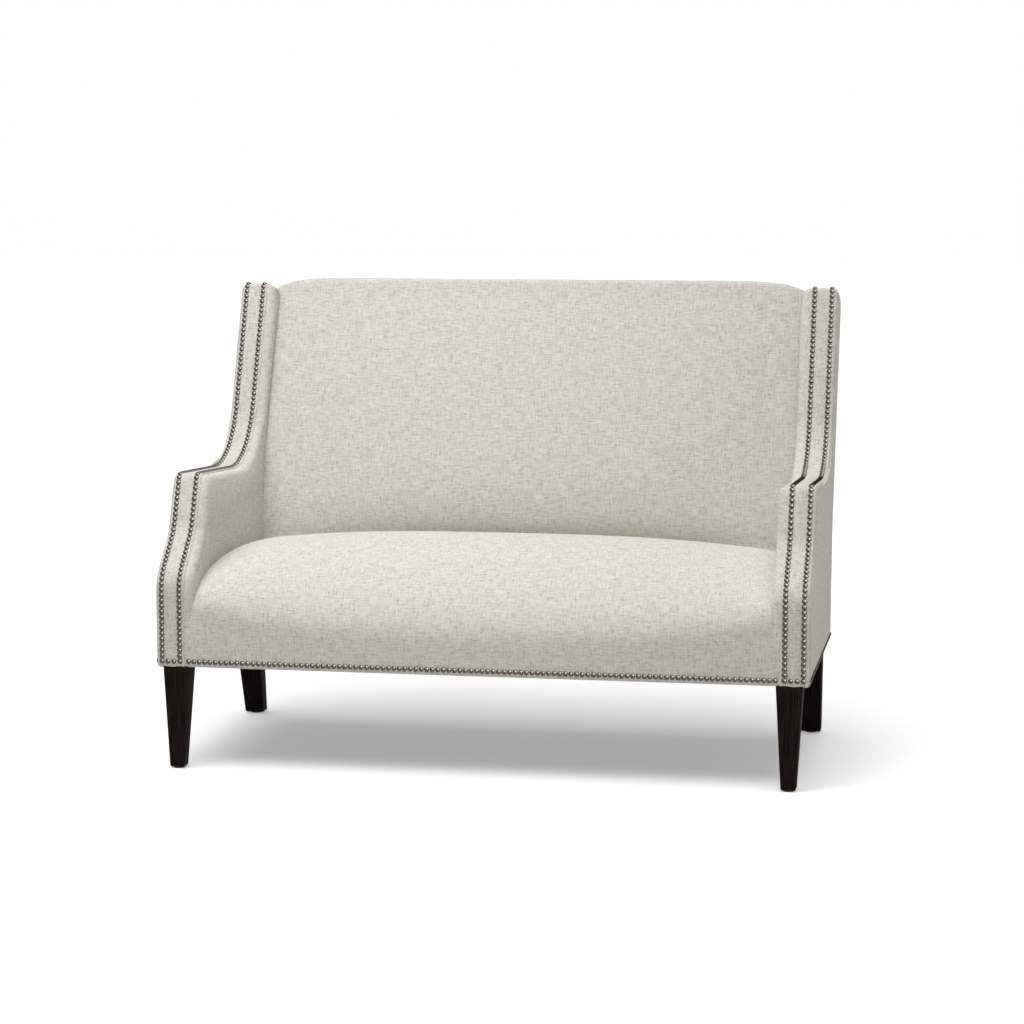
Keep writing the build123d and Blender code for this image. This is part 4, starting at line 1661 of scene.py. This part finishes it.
@dataclass
class Studio:
    """Pale floor, soft light from above and round about, white beyond, and the camera of the photograph."""

    place: tuple[float, float, float] = (1.0895, -6.0008, 1.2634)
    azimuth: float = radians(10.27)
    elevation: float = radians(7.086)
    lens: float = 100.0
    sensor: float = 36.0
    clip_end: float = 200.0
    floor_half: float = 30.0
    floor_glow: float = 0.335
    floor_seen: str = "#ffffff"
    floor_bounce: str = "#dfdbd2"
    sky: float = 0.15
    lamps: tuple[Lamp, ...] = (
        Lamp("key", 2.05, radians(65), (-0.10, -0.15, 0.975)),
        Lamp("side", 0.47, radians(4), (1.0, 0.05, 0.03), Reach.MATT),
        Lamp("glint", 11.0, radians(78), (0.64, -0.48, 0.60), Reach.POLISHED),
    )
    box: SoftBox = SoftBox("soft_box", 12.0, (1.3, 0.6), (-0.50, -1.05, 1.92), (0.05, 0.22, 0.86))

    def build(self) -> None:
        """Sets the view, the world, the floor, the lamps and the camera."""
        scene = bpy.context.scene
        scene.view_settings.view_transform = "Standard"
        self.world()
        self.floor()
        for lamp in (*self.lamps, self.box):
            lamp.build()
        camera = bpy.data.cameras.new("camera")
        camera.lens = self.lens
        camera.sensor_width = self.sensor
        camera.clip_end = self.clip_end
        holder = linked("camera", camera)
        holder.location = self.place
        flat = cos(self.elevation)
        aim(holder, "-Z", (-sin(self.azimuth) * flat, cos(self.azimuth) * flat, -sin(self.elevation)))
        scene.camera = holder

    def white_rays(self, tree: bpy.types.NodeTree) -> Any:
        """Tells the rays that see white beyond the settee from those that light it.

        Args:
            tree: node tree that takes the nodes.

        Returns:
            A socket that is 1 for camera, glossy and transmission rays.
        """
        path = add_node(tree, "ShaderNodeLightPath").outputs
        seen = path["Is Camera Ray"]
        for name in ("Is Glossy Ray", "Is Transmission Ray"):
            either = add_node(tree, "ShaderNodeMath", {"operation": "MAXIMUM"}, i0=seen, i1=path[name])
            seen = either.outputs[0]
        return seen

    def world(self) -> None:
        """White beyond the floor, and an even sky that lights the settee."""
        world = bpy.data.worlds.new("studio")
        tree = cleared(world)
        white = add_node(tree, "ShaderNodeBackground", Color=WHITE, Strength=1.0).outputs[0]
        sky = add_node(tree, "ShaderNodeBackground", Color=WHITE, Strength=self.sky).outputs[0]
        mixed = add_node(tree, "ShaderNodeMixShader", i0=self.white_rays(tree), i1=sky, i2=white).outputs[0]
        add_node(tree, "ShaderNodeOutputWorld", Surface=mixed)
        bpy.context.scene.world = world

    def floor(self) -> None:
        """Matt white floor under the glides, with a glow where it is seen that takes it to white."""
        material = bpy.data.materials.new("pale_floor")
        tree = cleared(material)
        paper = add_node(tree, "ShaderNodeBsdfDiffuse", Color=linear(self.floor_seen)).outputs[0]
        glow = add_node(tree, "ShaderNodeEmission", Color=WHITE, Strength=self.floor_glow).outputs[0]
        seen = add_node(tree, "ShaderNodeAddShader", i0=paper, i1=glow).outputs[0]
        bounce = add_node(tree, "ShaderNodeBsdfDiffuse", Color=linear(self.floor_bounce)).outputs[0]
        mixed = add_node(tree, "ShaderNodeMixShader", i0=self.white_rays(tree), i1=bounce, i2=seen).outputs[0]
        add_node(tree, "ShaderNodeOutputMaterial", Surface=mixed)
        corners = self.floor_half * np.array([(-1, -1, 0), (1, -1, 0), (1, 1, 0), (-1, 1, 0)])
        make_piece("floor", corners, [[0, 1, 2, 3]], material)


def main() -> None:
    """Loads the frame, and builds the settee's pieces in order."""
    logging.basicConfig(level=logging.INFO, format="%(name)s: %(message)s")
    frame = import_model()
    band_low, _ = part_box("edge_band_right")
    _, cover_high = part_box("outside_arm_cover_right")
    outline = SideOutline(front=band_low.y, base=band_low.z, half_width=cover_high.x)
    linen = LinenCloth().build()
    dust = Layered("black_spunbond", "#141414", "#232323", (1.2, 1.2, 1.2), roughness=0.95).build()
    espresso = StainedWood(
        "espresso_stained_oak",
        "#020101",
        "#31251f",
        pore_mm=1.8,
        figure_mm=70.0,
        roughness=0.6,
        gloss=0.02,
        mapped=True,
    ).build()
    HiddenFrame(frame["nodes"]).dress()
    Upholstery(outline, linen, dust).build()
    NailTrim(outline, NailMetal().build()).build()
    Legs(espresso).build()
    Studio().build()


if __name__ == "__main__":
    main()
